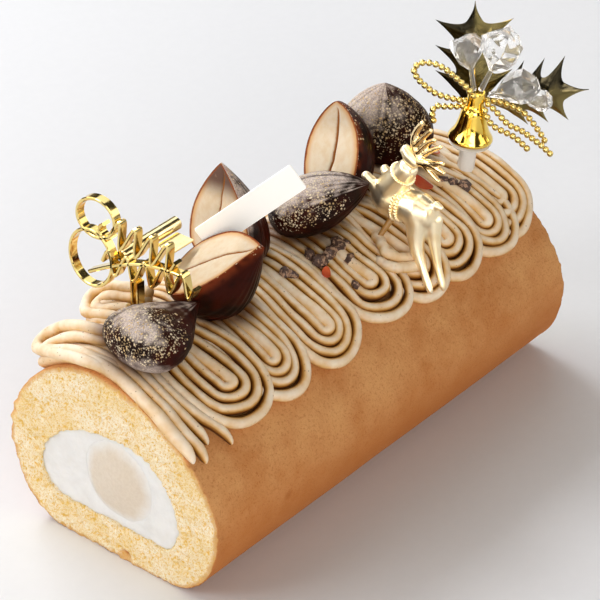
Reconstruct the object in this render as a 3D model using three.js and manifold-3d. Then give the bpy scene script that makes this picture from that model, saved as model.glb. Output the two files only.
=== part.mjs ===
// Swiss roll with a chestnut cream filling, piped chestnut strands, candied chestnuts and gilt picks.
// Millimetres, +Z up. The roll lies along X with its shown cut end at -X and its shown long side at -Y.
// The origin is the centre of the flat base.
import * as THREE from 'three';
import { ParametricGeometry } from 'three/addons/geometries/ParametricGeometry.js';
import { mergeVertices } from 'three/addons/utils/BufferGeometryUtils.js';
import Module from 'manifold-3d';

// Driving dimensions of the roll
const rollLength = 165.6;
const rollHeight = 61;
const baseHalfWidth = 20;
const fit = 0.3;
const weld = 1e-4;

// Filling, seen at both cut ends
const creamRecess = 0.7;
const coreRadius = 13.2;
const coreCentre = { y: -2.2, z: 27.4 };
const coreBulge = 2.2;

// Piped strands: a flat ribbon of strands laid in a zigzag from the back end to the front
const strandPitch = 2.9;
const strandsInRibbon = 4;
const ribbonHalf = (strandPitch * strandsInRibbon) / 2;
const ribbonBase = 0.75;
const ribbonTop = 3.3;
const grooveDepth = 1.05;
const turnRadius = 6.3;
const loopLift = 1.7;
const loopStations = [-57, -40, -16, 9, 26, 43, 61, 72.5];
const shownTurnArc = [28.4, 28, 29, 27.6, 28.6, 28, 27.6, 26.5];
const hiddenTurnArc = -19.5;
const shownTurnSteps = 6;
const hiddenTurnSteps = 4;
const legSteps = 5;
const frontLegStation = -76.4;
const frontLegEndArc = 41;

// Chestnuts
const chestnutLength = 31;
const chestnutHalfWidth = 13;

// Gilt picks and their trim
const beadRadius = 1.05;
const beadPitch = 2.05;
const ribbonDepth = 3;
const ribbonThickness = 1.1;
const scrollFront = -57.5;

const wasm = await Module();
wasm.setup();

const materials = {
  sponge: { color: 0xe9bd77, roughness: 0.9, metalness: 0 },
  whippedCream: { color: 0xf4f0ea, roughness: 0.6, metalness: 0 },
  chestnutCream: { color: 0xe2cba8, roughness: 0.65, metalness: 0 },
  candiedChestnut: { color: 0x4a2c20, roughness: 0.55, metalness: 0 },
  cutChestnut: { color: 0xd9b27c, roughness: 0.5, metalness: 0 },
  card: { color: 0xf6efdc, roughness: 0.5, metalness: 0 },
  gilt: { color: 0xd9b659, roughness: 0.2, metalness: 1 },
  champagneGilt: { color: 0xdcc28c, roughness: 0.3, metalness: 1 },
  darkGilt: { color: 0x6b5a2e, roughness: 0.25, metalness: 1 },
  amber: { color: 0xb98a3c, roughness: 0.2, metalness: 0 },
  milkPlastic: { color: 0xf2f1ee, roughness: 0.4, metalness: 0 },
  clearPlastic: { color: 0xeef1f2, roughness: 0.1, metalness: 0 },
};

// Welds shared corners, drops collapsed triangles and turns the faces outwards.
function sealed(geometry) {
  const bare = geometry.clone();
  bare.deleteAttribute('normal');
  bare.deleteAttribute('uv');
  const welded = mergeVertices(bare, weld);
  const corners = welded.index.array;
  const kept = [];
  for (let i = 0; i < corners.length; i += 3) {
    const [a, b, c] = [corners[i], corners[i + 1], corners[i + 2]];
    if (a !== b && b !== c && c !== a) kept.push(a, b, c);
  }
  welded.setIndex(kept);
  if (signedVolume(welded) < 0) {
    const turned = [];
    for (let i = 0; i < kept.length; i += 3) turned.push(kept[i], kept[i + 2], kept[i + 1]);
    welded.setIndex(turned);
  }
  return welded;
}

function signedVolume(geometry) {
  const corner = [0, 1, 2].map(() => new THREE.Vector3());
  const { index, attributes } = geometry;
  let total = 0;
  for (let i = 0; i < index.count; i += 3) {
    corner.forEach((point, k) => point.fromBufferAttribute(attributes.position, index.getX(i + k)));
    total += corner[0].dot(corner[1].clone().cross(corner[2])) / 6;
  }
  return total;
}

function toSolid(geometry) {
  const closed = sealed(geometry);
  return new wasm.Manifold(new wasm.Mesh({
    numProp: 3,
    vertProperties: Float32Array.from(closed.attributes.position.array),
    triVerts: Uint32Array.from(closed.index.array),
  }));
}

// Keeps the largest body, so that a hollow sealed by fusing is filled and a loose scrap is dropped.
function fromSolid(solid) {
  const bodies = solid.decompose();
  const largest = bodies.reduce((best, body) => (body.volume() > best.volume() ? body : best));
  const mesh = largest.getMesh();
  const geometry = new THREE.BufferGeometry();
  geometry.setAttribute('position', new THREE.BufferAttribute(Float32Array.from(mesh.vertProperties), 3));
  geometry.setIndex([...mesh.triVerts]);
  return geometry;
}

const fuse = (geometries) => geometries.map(toSolid).reduce((whole, piece) => whole.add(piece));

const group = new THREE.Group();

function addPiece(name, geometry, finish, parent = group) {
  const closed = sealed(geometry);
  closed.computeVertexNormals();
  const mesh = new THREE.Mesh(closed, new THREE.MeshStandardMaterial(materials[finish]));
  mesh.name = name;
  parent.add(mesh);
  return mesh;
}

// A ring of `sides` points carried along a curve, with its radius given at each fraction of the length.
function sweptRound(curve, steps, sides, radiusAt) {
  const frames = curve.computeFrenetFrames(steps, false);
  const place = (u, v, target) => {
    const step = Math.round(v * steps);
    const angle = 2 * Math.PI * u;
    const radius = radiusAt(v);
    target.copy(curve.getPointAt(v))
      .addScaledVector(frames.normals[step], radius * Math.cos(angle))
      .addScaledVector(frames.binormals[step], radius * Math.sin(angle));
  };
  return new ParametricGeometry(place, sides, steps);
}

// A limb through the given points: rounded ends, radii spread evenly along it.
function limb(points, radii, steps, sides = 7) {
  const curve = new THREE.CatmullRomCurve3(points.map((p) => new THREE.Vector3(...p)));
  const radiusAt = (v) => {
    if (v === 0 || v === 1) return 0;
    const place = v * (radii.length - 1);
    const low = Math.min(Math.floor(place), radii.length - 2);
    return THREE.MathUtils.lerp(radii[low], radii[low + 1], place - low);
  };
  return sweptRound(curve, steps, sides, radiusAt);
}

// A straight round rod between two points.
function rod(from, to, radius, sides) {
  const along = to.clone().sub(from);
  const length = along.length();
  const bar = new THREE.CylinderGeometry(radius, radius, length, sides).translate(0, length / 2, 0);
  const turned = new THREE.Quaternion().setFromUnitVectors(new THREE.Vector3(0, 1, 0), along.normalize());
  bar.applyQuaternion(turned);
  return bar.translate(...from);
}

// Turns a flat outline drawn as (y, z) into a solid that runs along X.
function alongRoll(shape, from, length, segments) {
  const settings = { depth: length, bevelEnabled: false, curveSegments: segments };
  const geometry = new THREE.ExtrudeGeometry(shape, settings);
  const axes = new THREE.Matrix4().makeBasis(
    new THREE.Vector3(0, 1, 0), new THREE.Vector3(0, 0, 1), new THREE.Vector3(1, 0, 0));
  return geometry.applyMatrix4(axes).translate(from, 0, 0);
}

// The roll's skin from its hidden lower edge over the crown to its shown lower edge, as (y, z) curves.
const point = (y, z) => new THREE.Vector2(y, z);
const crown = point(6, rollHeight);
const hiddenFlank = point(40, 28);
const shownFlank = point(-39.5, 28);
const skinCurves = [
  new THREE.CubicBezierCurve(point(baseHalfWidth, 0), point(33, 0.5), point(40, 13), hiddenFlank),
  new THREE.CubicBezierCurve(hiddenFlank, point(38.5, 44), point(24, rollHeight), crown),
  new THREE.CubicBezierCurve(crown, point(-13, rollHeight), point(-35, 48), shownFlank),
  new THREE.CubicBezierCurve(shownFlank, point(-40, 13), point(-33, 0.5), point(-baseHalfWidth, 0)),
];
const skin = new THREE.CurvePath();
skinCurves.forEach((curve) => skin.add(curve));
const skinLength = skin.getLength();
const crownArc = skinCurves[0].getLength() + skinCurves[1].getLength();

// A point over the skin: station along X, arc from the crown towards the shown side, height above.
function overSkin(station, arc, height) {
  const fraction = (crownArc + arc) / skinLength;
  const place = skin.getPoint(fraction);
  const along = skin.getTangent(fraction);
  return new THREE.Vector3(station, place.x + along.y * height, place.y - along.x * height);
}

function fillingOutline(path, clearance) {
  const low = 12 - clearance;
  path.moveTo(-18, low);
  path.lineTo(20, low);
  path.bezierCurveTo(26 + clearance, low + 0.5, 28.5 + clearance, 18, 27.9 + clearance, 23);
  path.bezierCurveTo(26.5 + clearance, 33 + clearance, 14, 41.5 + clearance, -3, 42 + clearance);
  path.bezierCurveTo(-17, 42 + clearance, -25.5 - clearance, 32, -24.8 - clearance, 20);
  path.bezierCurveTo(-24.5 - clearance, 15.5, -22.5 - clearance, low, -18, low);
  return path;
}

function spongeRoll() {
  const seam = { y: -8, halfWidth: 0.9, depth: 1.5 };
  const outline = new THREE.Shape();
  outline.moveTo(baseHalfWidth, 0);
  skinCurves.forEach((c) => outline.bezierCurveTo(c.v1.x, c.v1.y, c.v2.x, c.v2.y, c.v3.x, c.v3.y));
  outline.lineTo(seam.y - seam.halfWidth, 0);
  outline.lineTo(seam.y, seam.depth);
  outline.lineTo(seam.y + seam.halfWidth, 0);
  outline.holes.push(fillingOutline(new THREE.Path(), 0));
  return alongRoll(outline, -rollLength / 2, rollLength, 12);
}

function whippedCream() {
  const outline = fillingOutline(new THREE.Shape(), -fit);
  const core = new THREE.Path();
  core.absarc(coreCentre.y, coreCentre.z, coreRadius + fit, 0, 2 * Math.PI, true);
  outline.holes.push(core);
  return alongRoll(outline, -rollLength / 2 + creamRecess, rollLength - 2 * creamRecess, 10);
}

function chestnutCreamCore() {
  const half = rollLength / 2;
  const domeRings = 3;
  const profile = [];
  for (let i = 0; i <= domeRings; i += 1) {
    const angle = (Math.PI / 2) * (i / domeRings);
    const reach = half - 2 * creamRecess + (coreBulge + 1) * Math.cos(angle);
    profile.push(point(coreRadius * Math.sin(angle), reach));
  }
  const mirrored = profile.map((p) => point(p.x, -p.y)).reverse();
  const core = new THREE.LatheGeometry([...profile, ...mirrored], 20);
  return core.rotateZ(-Math.PI / 2).translate(0, coreCentre.y, coreCentre.z);
}

// The ribbon's cross-section as (across, share of height): a bed under rounded strands. The bed of a turn
// has a middle point, since a turn lies across the bend of the skin.
function ribbonSection(bedMiddle) {
  const section = [[ribbonHalf - 0.5, 0], ...bedMiddle, [-ribbonHalf + 0.5, 0], [-ribbonHalf, 0.45]];
  for (let i = 0; i < strandsInRibbon; i += 1) {
    const centre = -ribbonHalf + strandPitch * (i + 0.5);
    section.push([centre, 1]);
    if (i < strandsInRibbon - 1) section.push([centre + strandPitch / 2, 1 - grooveDepth / ribbonTop]);
  }
  section.push([ribbonHalf, 0.45]);
  return section;
}

// A length of ribbon: route(t) gives its middle as station, arc, heading across and lift.
function ribbonLength(route, steps, bedMiddle) {
  const section = ribbonSection(bedMiddle);
  const rings = [];
  for (let i = 0; i <= steps; i += 1) {
    const { station, arc, acrossStation, acrossArc, lift, taper = 1 } = route(i / steps);
    rings.push(section.map(([across, share]) => overSkin(
      station + acrossStation * across * taper,
      arc + acrossArc * across * taper,
      ribbonBase + share * (ribbonTop - ribbonBase + lift) * taper)));
  }
  return lofted(rings);
}

// Closes a row of equal rings into a solid, each end fanned from the ring's middle.
function lofted(rings) {
  const size = rings[0].length;
  const positions = rings.flat();
  const faces = [];
  for (let i = 0; i < rings.length - 1; i += 1) {
    for (let k = 0; k < size; k += 1) {
      const a = i * size + k;
      const b = i * size + ((k + 1) % size);
      faces.push(a, b, b + size, a, b + size, a + size);
    }
  }
  [0, rings.length - 1].forEach((end) => {
    const middle = positions.length;
    positions.push(rings[end].reduce((sum, p) => sum.add(p), new THREE.Vector3()).divideScalar(size));
    for (let k = 0; k < size; k += 1) {
      const pair = [end * size + k, end * size + ((k + 1) % size)];
      faces.push(middle, ...(end === 0 ? pair.reverse() : pair));
    }
  });
  const geometry = new THREE.BufferGeometry().setFromPoints(positions);
  geometry.setIndex(faces);
  return geometry;
}

// A turn of half a circle on one side of the roll; each turn climbs onto the one behind it.
function turn(station, arc, side) {
  return ribbonLength((t) => {
    const angle = Math.PI * (t - 0.5);
    return {
      station: station + turnRadius * Math.sin(angle),
      arc: arc + side * turnRadius * Math.cos(angle),
      acrossStation: Math.sin(angle),
      acrossArc: side * Math.cos(angle),
      lift: loopLift * (0.5 + 0.5 * Math.sin(angle)),
    };
  }, side > 0 ? shownTurnSteps : hiddenTurnSteps, [[0, 0]]);
}

// A leg over the crown from a shown turn to a hidden one, bending gently between the two stations.
function leg(shown, hidden, shownArc, shownLift, endTaper = 1) {
  return ribbonLength((t) => {
    const ease = t * t * (3 - 2 * t);
    return {
      station: THREE.MathUtils.lerp(shown, hidden, ease),
      arc: THREE.MathUtils.lerp(shownArc, hiddenTurnArc, t),
      acrossStation: 1,
      acrossArc: 0,
      lift: THREE.MathUtils.lerp(shownLift, loopLift - shownLift, ease),
      taper: t === 0 ? endTaper : 1,
    };
  }, legSteps, []);
}

function hiddenStations() {
  const front = (frontLegStation + loopStations[0]) / 2 - turnRadius / 2;
  const between = loopStations.slice(1).map((station, i) => (station + loopStations[i]) / 2);
  return [front, ...between];
}

// Small toppings on the strands: [station, arc, turn about the upright, size].
const nibSpots = [
  [-11.8, 9.8, 0.4, 2.4], [-10.6, 12, 1.7, 2.4], [0.2, 9.4, 0.9, 2.8], [0.2, 13, 2.5, 3.4],
  [5.4, 12.6, 0.2, 3.2], [9.8, 12.4, 1.2, 3.6], [12.8, 12.8, 2.1, 2.0], [8.7, 17.2, 0.5, 3.2],
  [3, 24.4, 1.1, 1.8], [60.2, 13, 2.2, 2.4], [61.4, 15.6, 0.1, 2.6], [63, 18.6, 0.8, 3.2],
  [-69, -10.6, 0.3, 2.6], [-30, -14, 2.6, 2.4], [4, -15, 0.7, 2.6], [50, -17, 0.6, 2.4],
];
const petalSpots = [
  [-1.6, 17, 0.7, 3.2], [53.4, 9.4, 1.9, 3.6], [70, 3, 1.1, 2.6],
  [-47, -12.5, 0.5, 3.2], [-40, -13, 2.3, 2.8],
];

function strewn([station, arc, spin, size], flatness) {
  const bed = 2.5;
  const piece = new THREE.OctahedronGeometry(size / 2).scale(1, 0.7, flatness).rotateZ(spin);
  const upright = overSkin(station, arc, 1).sub(overSkin(station, arc, 0));
  const turned = new THREE.Quaternion().setFromUnitVectors(new THREE.Vector3(0, 0, 1), upright.normalize());
  return piece.applyQuaternion(turned).translate(...overSkin(station, arc, bed + size * flatness * 0.3));
}

function pipedStrands(seats) {
  const hidden = hiddenStations();
  const pieces = [leg(frontLegStation, hidden[0] - turnRadius, frontLegEndArc, 0, 0.35)];
  loopStations.forEach((station, i) => {
    const arc = shownTurnArc[i];
    pieces.push(turn(hidden[i], hiddenTurnArc, -1));
    pieces.push(leg(station - turnRadius, hidden[i] + turnRadius, arc, 0));
    pieces.push(turn(station, arc, 1));
    const last = i === loopStations.length - 1;
    const behind = last ? station + turnRadius - 1 : hidden[i + 1] - turnRadius;
    pieces.push(leg(station + turnRadius, behind, arc, loopLift));
  });
  nibSpots.forEach((spot) => pieces.push(strewn(spot, 0.7)));
  petalSpots.forEach((spot) => pieces.push(strewn(spot, 0.35)));
  const seated = seats.reduce((strands, seat) => strands.subtract(toSolid(seat)), fuse(pieces));
  return fromSolid(seated);
}

// A chestnut lying along its own +X from its broad base to its pointed tip. Its two half widths are scaled
// by `across` and `deep`; `widest` is how far along it is broadest and `taper` how its tip draws in.
function chestnut({ size, across, deep, widest, taper }, clearance) {
  const rings = 9;
  const profile = [];
  for (let i = 0; i <= rings; i += 1) {
    const t = i / rings;
    const radius = t < widest
      ? Math.sqrt(1 - ((widest - t) / widest) ** 2.6)
      : Math.sin((Math.PI / 2) * ((1 - t) / (1 - widest)) ** taper);
    profile.push(point(
      i === 0 || i === rings ? 0 : size * chestnutHalfWidth * radius + clearance,
      (size * chestnutLength + 2 * clearance) * (t - 0.5)));
  }
  const body = new THREE.LatheGeometry(profile, 12);
  return body.rotateZ(-Math.PI / 2).scale(1, across, deep);
}

// Where each chestnut lies: its middle, the direction from base to tip and the way its deep side faces.
// A halved one is cut square to that side, at a distance from its middle.
const chestnutPlaces = [
  {
    name: 'chestnut_whole_front', size: 0.98, across: 1.1, deep: 0.61, widest: 0.28, taper: 1.2,
    middle: [-65.3, -4.8, 72.6], tip: [0.99, -0.08, 0.12], facing: [-0.12, 0.07, 0.99],
  },
  {
    name: 'chestnut_half_front', size: 1.06, across: 1, deep: 1.22, widest: 0.37, taper: 1.02,
    middle: [-38.2, -2.3, 79.9], tip: [0.26, -0.82, 0.5], facing: [-0.28, 0.43, 0.86], cutAt: 1.2,
  },
  {
    name: 'chestnut_half_left', size: 1.02, across: 1.13, deep: 1.09, widest: 0.26, taper: 0.92,
    middle: [-15.6, 16.6, 77.2], tip: [0.24, 0.16, 0.96], facing: [-0.95, 0.24, 0.19], cutAt: 0.3,
  },
  {
    name: 'chestnut_whole_middle', size: 1.03, across: 1, deep: 0.64, widest: 0.42, taper: 0.81,
    middle: [12.8, 2.4, 74], tip: [0.6, -0.7, 0.37], facing: [-0.05, 0.44, 0.9],
  },
  {
    name: 'chestnut_half_back', size: 1, across: 0.93, deep: 0.97, widest: 0.44, taper: 0.71,
    middle: [34, 13.9, 77.1], tip: [0.52, 0.31, 0.8], facing: [-0.86, 0.25, 0.46], cutAt: 1.2,
  },
  {
    name: 'chestnut_whole_back', size: 1, across: 1.12, deep: 0.78, widest: 0.39, taper: 0.88,
    middle: [58, 12.6, 77.5], tip: [-0.19, -0.08, 0.98], facing: [-0.92, -0.34, -0.2],
  },
];

function laidChestnut(place, clearance = 0) {
  const { middle, tip, facing, cutAt } = place;
  const along = new THREE.Vector3(...tip).normalize();
  const side = new THREE.Vector3(...facing).cross(along).normalize();
  const axes = new THREE.Matrix4().makeBasis(along, side, along.clone().cross(side)).setPosition(...middle);
  const whole = chestnut(place, clearance);
  if (cutAt === undefined || clearance > 0) return whole.applyMatrix4(axes);
  const blockSize = 2 * chestnutLength;
  const block = new THREE.BoxGeometry(blockSize, blockSize, blockSize).translate(0, 0, blockSize / 2 + cutAt);
  return fromSolid(toSolid(whole).subtract(toSolid(block))).applyMatrix4(axes);
}

// A closed oval band standing across the roll: Shape with a hole, carried along X.
function ovalBand(y, z, halfWidth, halfHeight, tilt) {
  const band = new THREE.Shape();
  const hole = new THREE.Path();
  const wall = ribbonThickness / 2;
  band.absellipse(y, z, halfWidth + wall, halfHeight + wall, 0, 2 * Math.PI, false, tilt);
  hole.absellipse(y, z, halfWidth - wall, halfHeight - wall, 0, 2 * Math.PI, true, tilt);
  band.holes.push(hole);
  return alongRoll(band, scrollFront, ribbonDepth, 9);
}

// A band that follows a wave in the plane of the scroll, from one end to the other.
function waveBand(from, to, waves, swing, slant) {
  const perWave = 8;
  const points = [];
  for (let i = 0; i <= waves * perWave; i += 1) {
    const t = i / (waves * perWave);
    const rise = swing * Math.sin(2 * Math.PI * waves * t);
    points.push(point(
      THREE.MathUtils.lerp(from.y, to.y, t) - slant * rise,
      THREE.MathUtils.lerp(from.z, to.z, t) + rise));
  }
  return planarBand(points);
}

// A flat strip of the ribbon's thickness along a planar polyline, carried along X.
function planarBand(points) {
  const wall = ribbonThickness / 2;
  const edge = (sign) => points.map((p, i) => {
    const before = points[Math.max(0, i - 1)];
    const after = points[Math.min(points.length - 1, i + 1)];
    const along = after.clone().sub(before).normalize();
    return point(p.x - sign * along.y * wall, p.y + sign * along.x * wall);
  });
  return alongRoll(new THREE.Shape([...edge(1), ...edge(-1).reverse()]), scrollFront, ribbonDepth, 1);
}

function scrollStem(clearance = 0) {
  const middle = 12.8;
  const half = 1.6 + clearance;
  const [top, bottom] = [76.4, 61.4 - clearance];
  const outline = new THREE.Shape([
    point(middle - half, bottom), point(middle + half, bottom),
    point(middle + half, top), point(middle - half, top)]);
  return alongRoll(outline, scrollFront - clearance, ribbonDepth + 2 * clearance, 1);
}

function scrollOrnament() {
  const swash = new THREE.CubicBezierCurve(
    point(30.5, 72.5), point(19.5, 79.5), point(9.5, 85.5), point(-5.5, 85.5));
  const curl = new THREE.CubicBezierCurve(point(21.5, 87.5), point(24.5, 85), point(28, 88.5), point(24, 91));
  return fromSolid(fuse([
    ovalBand(27, 91.8, 7.4, 6.2, -0.42),
    ovalBand(29.6, 77.6, 8, 9.6, 0.3),
    waveBand({ y: 21, z: 89.4 }, { y: -3, z: 89 }, 4, 4.4, 0.35),
    waveBand({ y: 25, z: 78.4 }, { y: -10, z: 83 }, 5, 3.8, 0.15),
    planarBand(swash.getPoints(7)),
    planarBand(curl.getPoints(5)),
    scrollStem(),
  ]));
}

// Gilt tube on the back of the scroll and the plate that reaches from it to the cut chestnut.
const tubeAxis = { y: 20.4, z: 80.2, radius: 2.1 };

function giltTube() {
  const start = scrollFront + ribbonDepth + fit;
  const length = 24;
  const tube = new THREE.CylinderGeometry(tubeAxis.radius, tubeAxis.radius, length, 14);
  return tube.rotateZ(Math.PI / 2).translate(start + length / 2, tubeAxis.y, tubeAxis.z);
}

function giltPlate() {
  const size = { x: 9, y: 6.6, z: 0.5 };
  const plate = new THREE.BoxGeometry(size.x, size.y, size.z);
  return plate.translate(-37.5, tubeAxis.y - tubeAxis.radius - fit - size.y / 2, tubeAxis.z - 1.2);
}

// A bare card that leans on the chestnuts: its upper edge runs between two corners.
function plaque() {
  const right = new THREE.Vector3(-7.6, -3.3, 98.3);
  const left = new THREE.Vector3(-30.1, 14.0, 80.3);
  const height = 8.6;
  const thickness = 0.8;
  const along = right.clone().sub(left);
  const length = along.length();
  along.normalize();
  const face = along.clone().cross(new THREE.Vector3(0, 0.3, 1)).normalize();
  const up = face.clone().cross(along);
  const middle = left.clone().add(right).divideScalar(2).addScaledVector(up, -height / 2);
  const axes = new THREE.Matrix4().makeBasis(along, up, face).setPosition(middle);
  return new THREE.BoxGeometry(length, height, thickness).applyMatrix4(axes);
}

// Leaping reindeer: limbs and body fused into one casting.
function reindeer() {
  const body = limb(
    [[28.8, -29, 73.8], [28.6, -24.8, 73.4], [28.2, -15.8, 73.5], [28, -9.6, 74.8], [27.8, -6.8, 75.8]],
    [3, 5.3, 4.3, 4.7, 2.4], 8, 9);
  const neck = limb([[28, -12, 76.5], [28.3, -15.5, 82], [28.4, -19.6, 88]], [4, 3, 2.4], 5);
  const head = limb([[28.4, -22.6, 88.6], [28.4, -19.6, 90.2], [28.4, -16.2, 93.2]], [1.8, 2.3, 1.5], 6);
  const hindNear = limb([[27.4, -23.5, 73.5], [25.4, -24.4, 64], [24.2, -28, 57], [22.8, -32.6, 50.2]],
    [4.4, 3, 1.7, 1.4], 8);
  const hindFar = limb([[30, -26.5, 73], [29, -28.4, 64.5], [28, -30.6, 57.5], [27, -34, 49.8]],
    [3.8, 2.4, 1.6, 1.4], 8);
  const foreNear = limb([[26.6, -10.8, 75.2], [25.8, -7.2, 78], [25.2, -4, 81]], [2.8, 2, 1.3], 6);
  const foreFar = limb([[30, -11.4, 77.6], [30.6, -9, 79.8], [31, -6.8, 81.8]], [2.6, 1.9, 1.3], 6);
  const tail = limb([[29.4, -27.5, 77], [29.5, -31, 76.2]], [1.6, 0.9], 4);
  const antlerUp = [
    limb([[28.8, -21.6, 90], [29.8, -19.4, 96.4], [30, -22.4, 103]], [1.4, 1.2, 0.8], 5, 6),
    limb([[29.4, -20, 94], [29.9, -23.4, 98.6], [30, -25.9, 101.4]], [1.1, 0.9, 0.7], 4, 5),
    limb([[29, -21, 92], [29.8, -24.4, 96.4], [30, -27.4, 98.6]], [1.1, 0.9, 0.7], 4, 5),
    limb([[28.8, -21.6, 90.6], [29.6, -26, 94.6], [30, -29.8, 97.2]], [1.1, 0.9, 0.7], 4, 5),
  ];
  const antlerBack = [
    limb([[28, -22, 90], [26.8, -28, 91.6], [26, -34, 91.2]], [1.4, 1.1, 0.8], 5, 6),
    limb([[27.2, -26, 91], [26.4, -30.6, 93.4], [26, -33.6, 94.4]], [1, 0.8, 0.7], 4, 5),
    limb([[27.2, -25, 90.6], [26.2, -29.6, 88.8], [25.6, -32.4, 88]], [1, 0.8, 0.7], 4, 5),
  ];
  return fromSolid(fuse([
    body, neck, head, hindNear, hindFar, foreNear, foreFar, tail, ...antlerUp, ...antlerBack]));
}

function reindeerPick(clearance = 0) {
  const foot = new THREE.Vector3(21, -11.7, 60);
  const head = new THREE.Vector3(27.15, -14.3, 68.75);
  foot.addScaledVector(head.clone().sub(foot).normalize(), -clearance);
  return rod(foot, head, 1 + clearance, 8);
}

// The bell spray stands on a post; its own frame is upright at the post, facing the viewer.
const spray = new THREE.Group();
spray.position.set(71, -8, 60.2);
spray.rotation.z = -0.878;
group.add(spray);
const sprayLean = 0.1;

function bellPost(clearance = 0) {
  const radius = 2.65 + clearance;
  const profile = [
    [0, -clearance], [radius, -clearance], [radius, 10.2], [5.9, 12.3], [5.9, 12.8], [0, 12.8]];
  return new THREE.LatheGeometry(profile.map(([r, z]) => point(r, z)), 12)
    .rotateX(Math.PI / 2).rotateY(sprayLean);
}

function bell() {
  const profile = [
    [0, 0], [6.7, 0], [7, 0.7], [6.3, 2], [5.1, 4], [4.4, 7], [3.9, 10.4], [3.4, 11.2],
    [2.8, 11.5], [2.7, 16.4], [2.2, 17], [0, 17]];
  const mouthHeight = 12.8 + fit;
  return new THREE.LatheGeometry(profile.map(([r, z]) => point(r, z + mouthHeight)), 14)
    .rotateX(Math.PI / 2).rotateY(sprayLean);
}

// Beads strung along a stiff wire through the given points of the spray's frame.
function beadString(points) {
  const curve = new THREE.CatmullRomCurve3(points.map((place) => new THREE.Vector3(...place)));
  const beads = Math.round(curve.getLength() / beadPitch);
  const steps = 2 * beads;
  const radiusAt = (v) => {
    const step = Math.round(v * steps);
    if (step === 0 || step === steps) return 0;
    return step % 2 === 1 ? beadRadius : beadRadius * 0.42;
  };
  return sweptRound(curve, steps, 5, radiusAt);
}

const beadRoutes = {
  bead_loop: [
    [2.2, -3.5, 29.2], [-0.7, -3.8, 33.2], [-3.9, -4, 36.6], [-7, -4, 39.4], [-9.7, -4, 41],
    [-12.4, -4, 41.7], [-15.1, -4, 41.4], [-16.6, -4, 39.2], [-15.2, -4, 36], [-12.5, -4, 33.2],
    [-10, -4, 31.2], [-7.2, -4, 30], [-4.4, -3.6, 29], [0, -1.9, 27.2]],
  bead_tail_left: [
    [-0.7, -1.4, 25.5], [-2.6, -2.6, 25.8], [-6.6, -3.4, 26.2], [-9.6, -3.4, 26.3], [-10.7, -3.4, 24.2],
    [-10.1, -3.4, 20.4]],
  bead_tail_right: [
    [5.6, -1.4, 26.6], [8.4, -3, 24.6], [12.5, -4.2, 20.4], [16.8, -4.2, 18], [22.8, -4.2, 13],
    [26.4, -4.2, 9.3]],
  bead_tail_low: [[5, -3, 25.6], [6.5, -4.6, 22], [8.8, -5, 19.6], [14.4, -5, 16.4], [19.2, -5, 11.6]],
  bead_tail_far: [
    [5.2, 1.8, 25.6], [10.6, 2.2, 24.4], [17.2, 1.4, 21.6], [22, -0.4, 16.2], [24.6, -1.4, 12.1]],
};

// A holly leaf: a thin lens section along its midrib. Its half width swings out into a spine at each of the
// given fractions of its length, then draws in to the tip.
function hollyLeaf({ base, tip, halfWidth, spines }) {
  const steps = 20;
  const spineReach = 0.12;
  const thickness = 0.7;
  const fold = -0.2;
  const last = spines[spines.length - 1];
  const start = new THREE.Vector3(...base);
  const along = new THREE.Vector3(...tip).sub(start);
  const length = along.length();
  along.normalize();
  const facing = new THREE.Vector3(0, -1, 0);
  const side = facing.clone().cross(along).normalize();
  const face = along.clone().cross(side);
  const rings = [];
  for (let i = 0; i <= steps; i += 1) {
    const t = i / steps;
    const nearest = Math.min(...spines.map((place) => Math.abs(t - place)));
    const spine = Math.max(0, 1 - nearest / spineReach) ** 1.4;
    const blade = t < last ? 0.5 * Math.min(1, 0.1 + 5 * t) : 0.3 * ((1 - t) / (1 - last)) + 0.02;
    const half = halfWidth * (blade + (1 - blade) * spine);
    const middle = start.clone().addScaledVector(along, length * t);
    const edge = (sign) => middle.clone()
      .addScaledVector(along, 2 * spine)
      .addScaledVector(side, sign * half)
      .addScaledVector(face, fold * half);
    const rib = (sign) => middle.clone().addScaledVector(face, (sign * thickness) / 2);
    rings.push([edge(1), rib(1), edge(-1), rib(-1)]);
  }
  return lofted(rings);
}

const leaves = {
  holly_leaf_up: {
    base: [2.6, 6, 17.4], tip: [1.8, 6.4, 57], halfWidth: 12, spines: [0.25, 0.5, 0.75],
  },
  holly_leaf_side: {
    base: [6.4, 4.6, 23.6], tip: [37.6, 6.4, 26.6], halfWidth: 11.6, spines: [0.3, 0.45, 0.65],
  },
};

// A cut crystal on a slim stem that starts at the bell's neck.
function crystal(foot, head, radius) {
  const start = new THREE.Vector3(...foot);
  const along = new THREE.Vector3(...head).sub(start);
  const length = along.length();
  const stem = 0.9;
  const rise = Math.max(0.2, length - 2.3 * radius);
  const profile = [
    [0, 0], [stem, 0], [stem * 0.8, rise], [radius * 0.62, length - 1.5 * radius],
    [radius, length - 0.75 * radius], [radius * 0.86, length - 0.25 * radius],
    [radius * 0.4, length], [0, length + 0.1]];
  const gem = new THREE.LatheGeometry(profile.map(([r, z]) => point(r, z)), 6);
  const turned = new THREE.Quaternion().setFromUnitVectors(new THREE.Vector3(0, 1, 0), along.normalize());
  return gem.applyQuaternion(turned).translate(...foot);
}

const crystals = {
  crystal_up: { foot: [1.9, -0.6, 30.4], head: [-1.2, -3.4, 50], radius: 5.2 },
  crystal_large: { foot: [4, -0.9, 30.5], head: [12, -3, 51.5], radius: 6.4 },
  crystal_side: { foot: [6.7, -0.6, 28.6], head: [20.6, -4.2, 34.8], radius: 5.8 },
  crystal_low: { foot: [6.6, 1.2, 27.8], head: [25.6, -0.2, 25.8], radius: 3.6 },
};

spray.updateMatrix();
const seats = [
  ...chestnutPlaces.map((place) => laidChestnut(place, fit)),
  scrollStem(fit),
  reindeerPick(fit),
  bellPost(fit).applyMatrix4(spray.matrix),
];

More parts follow.
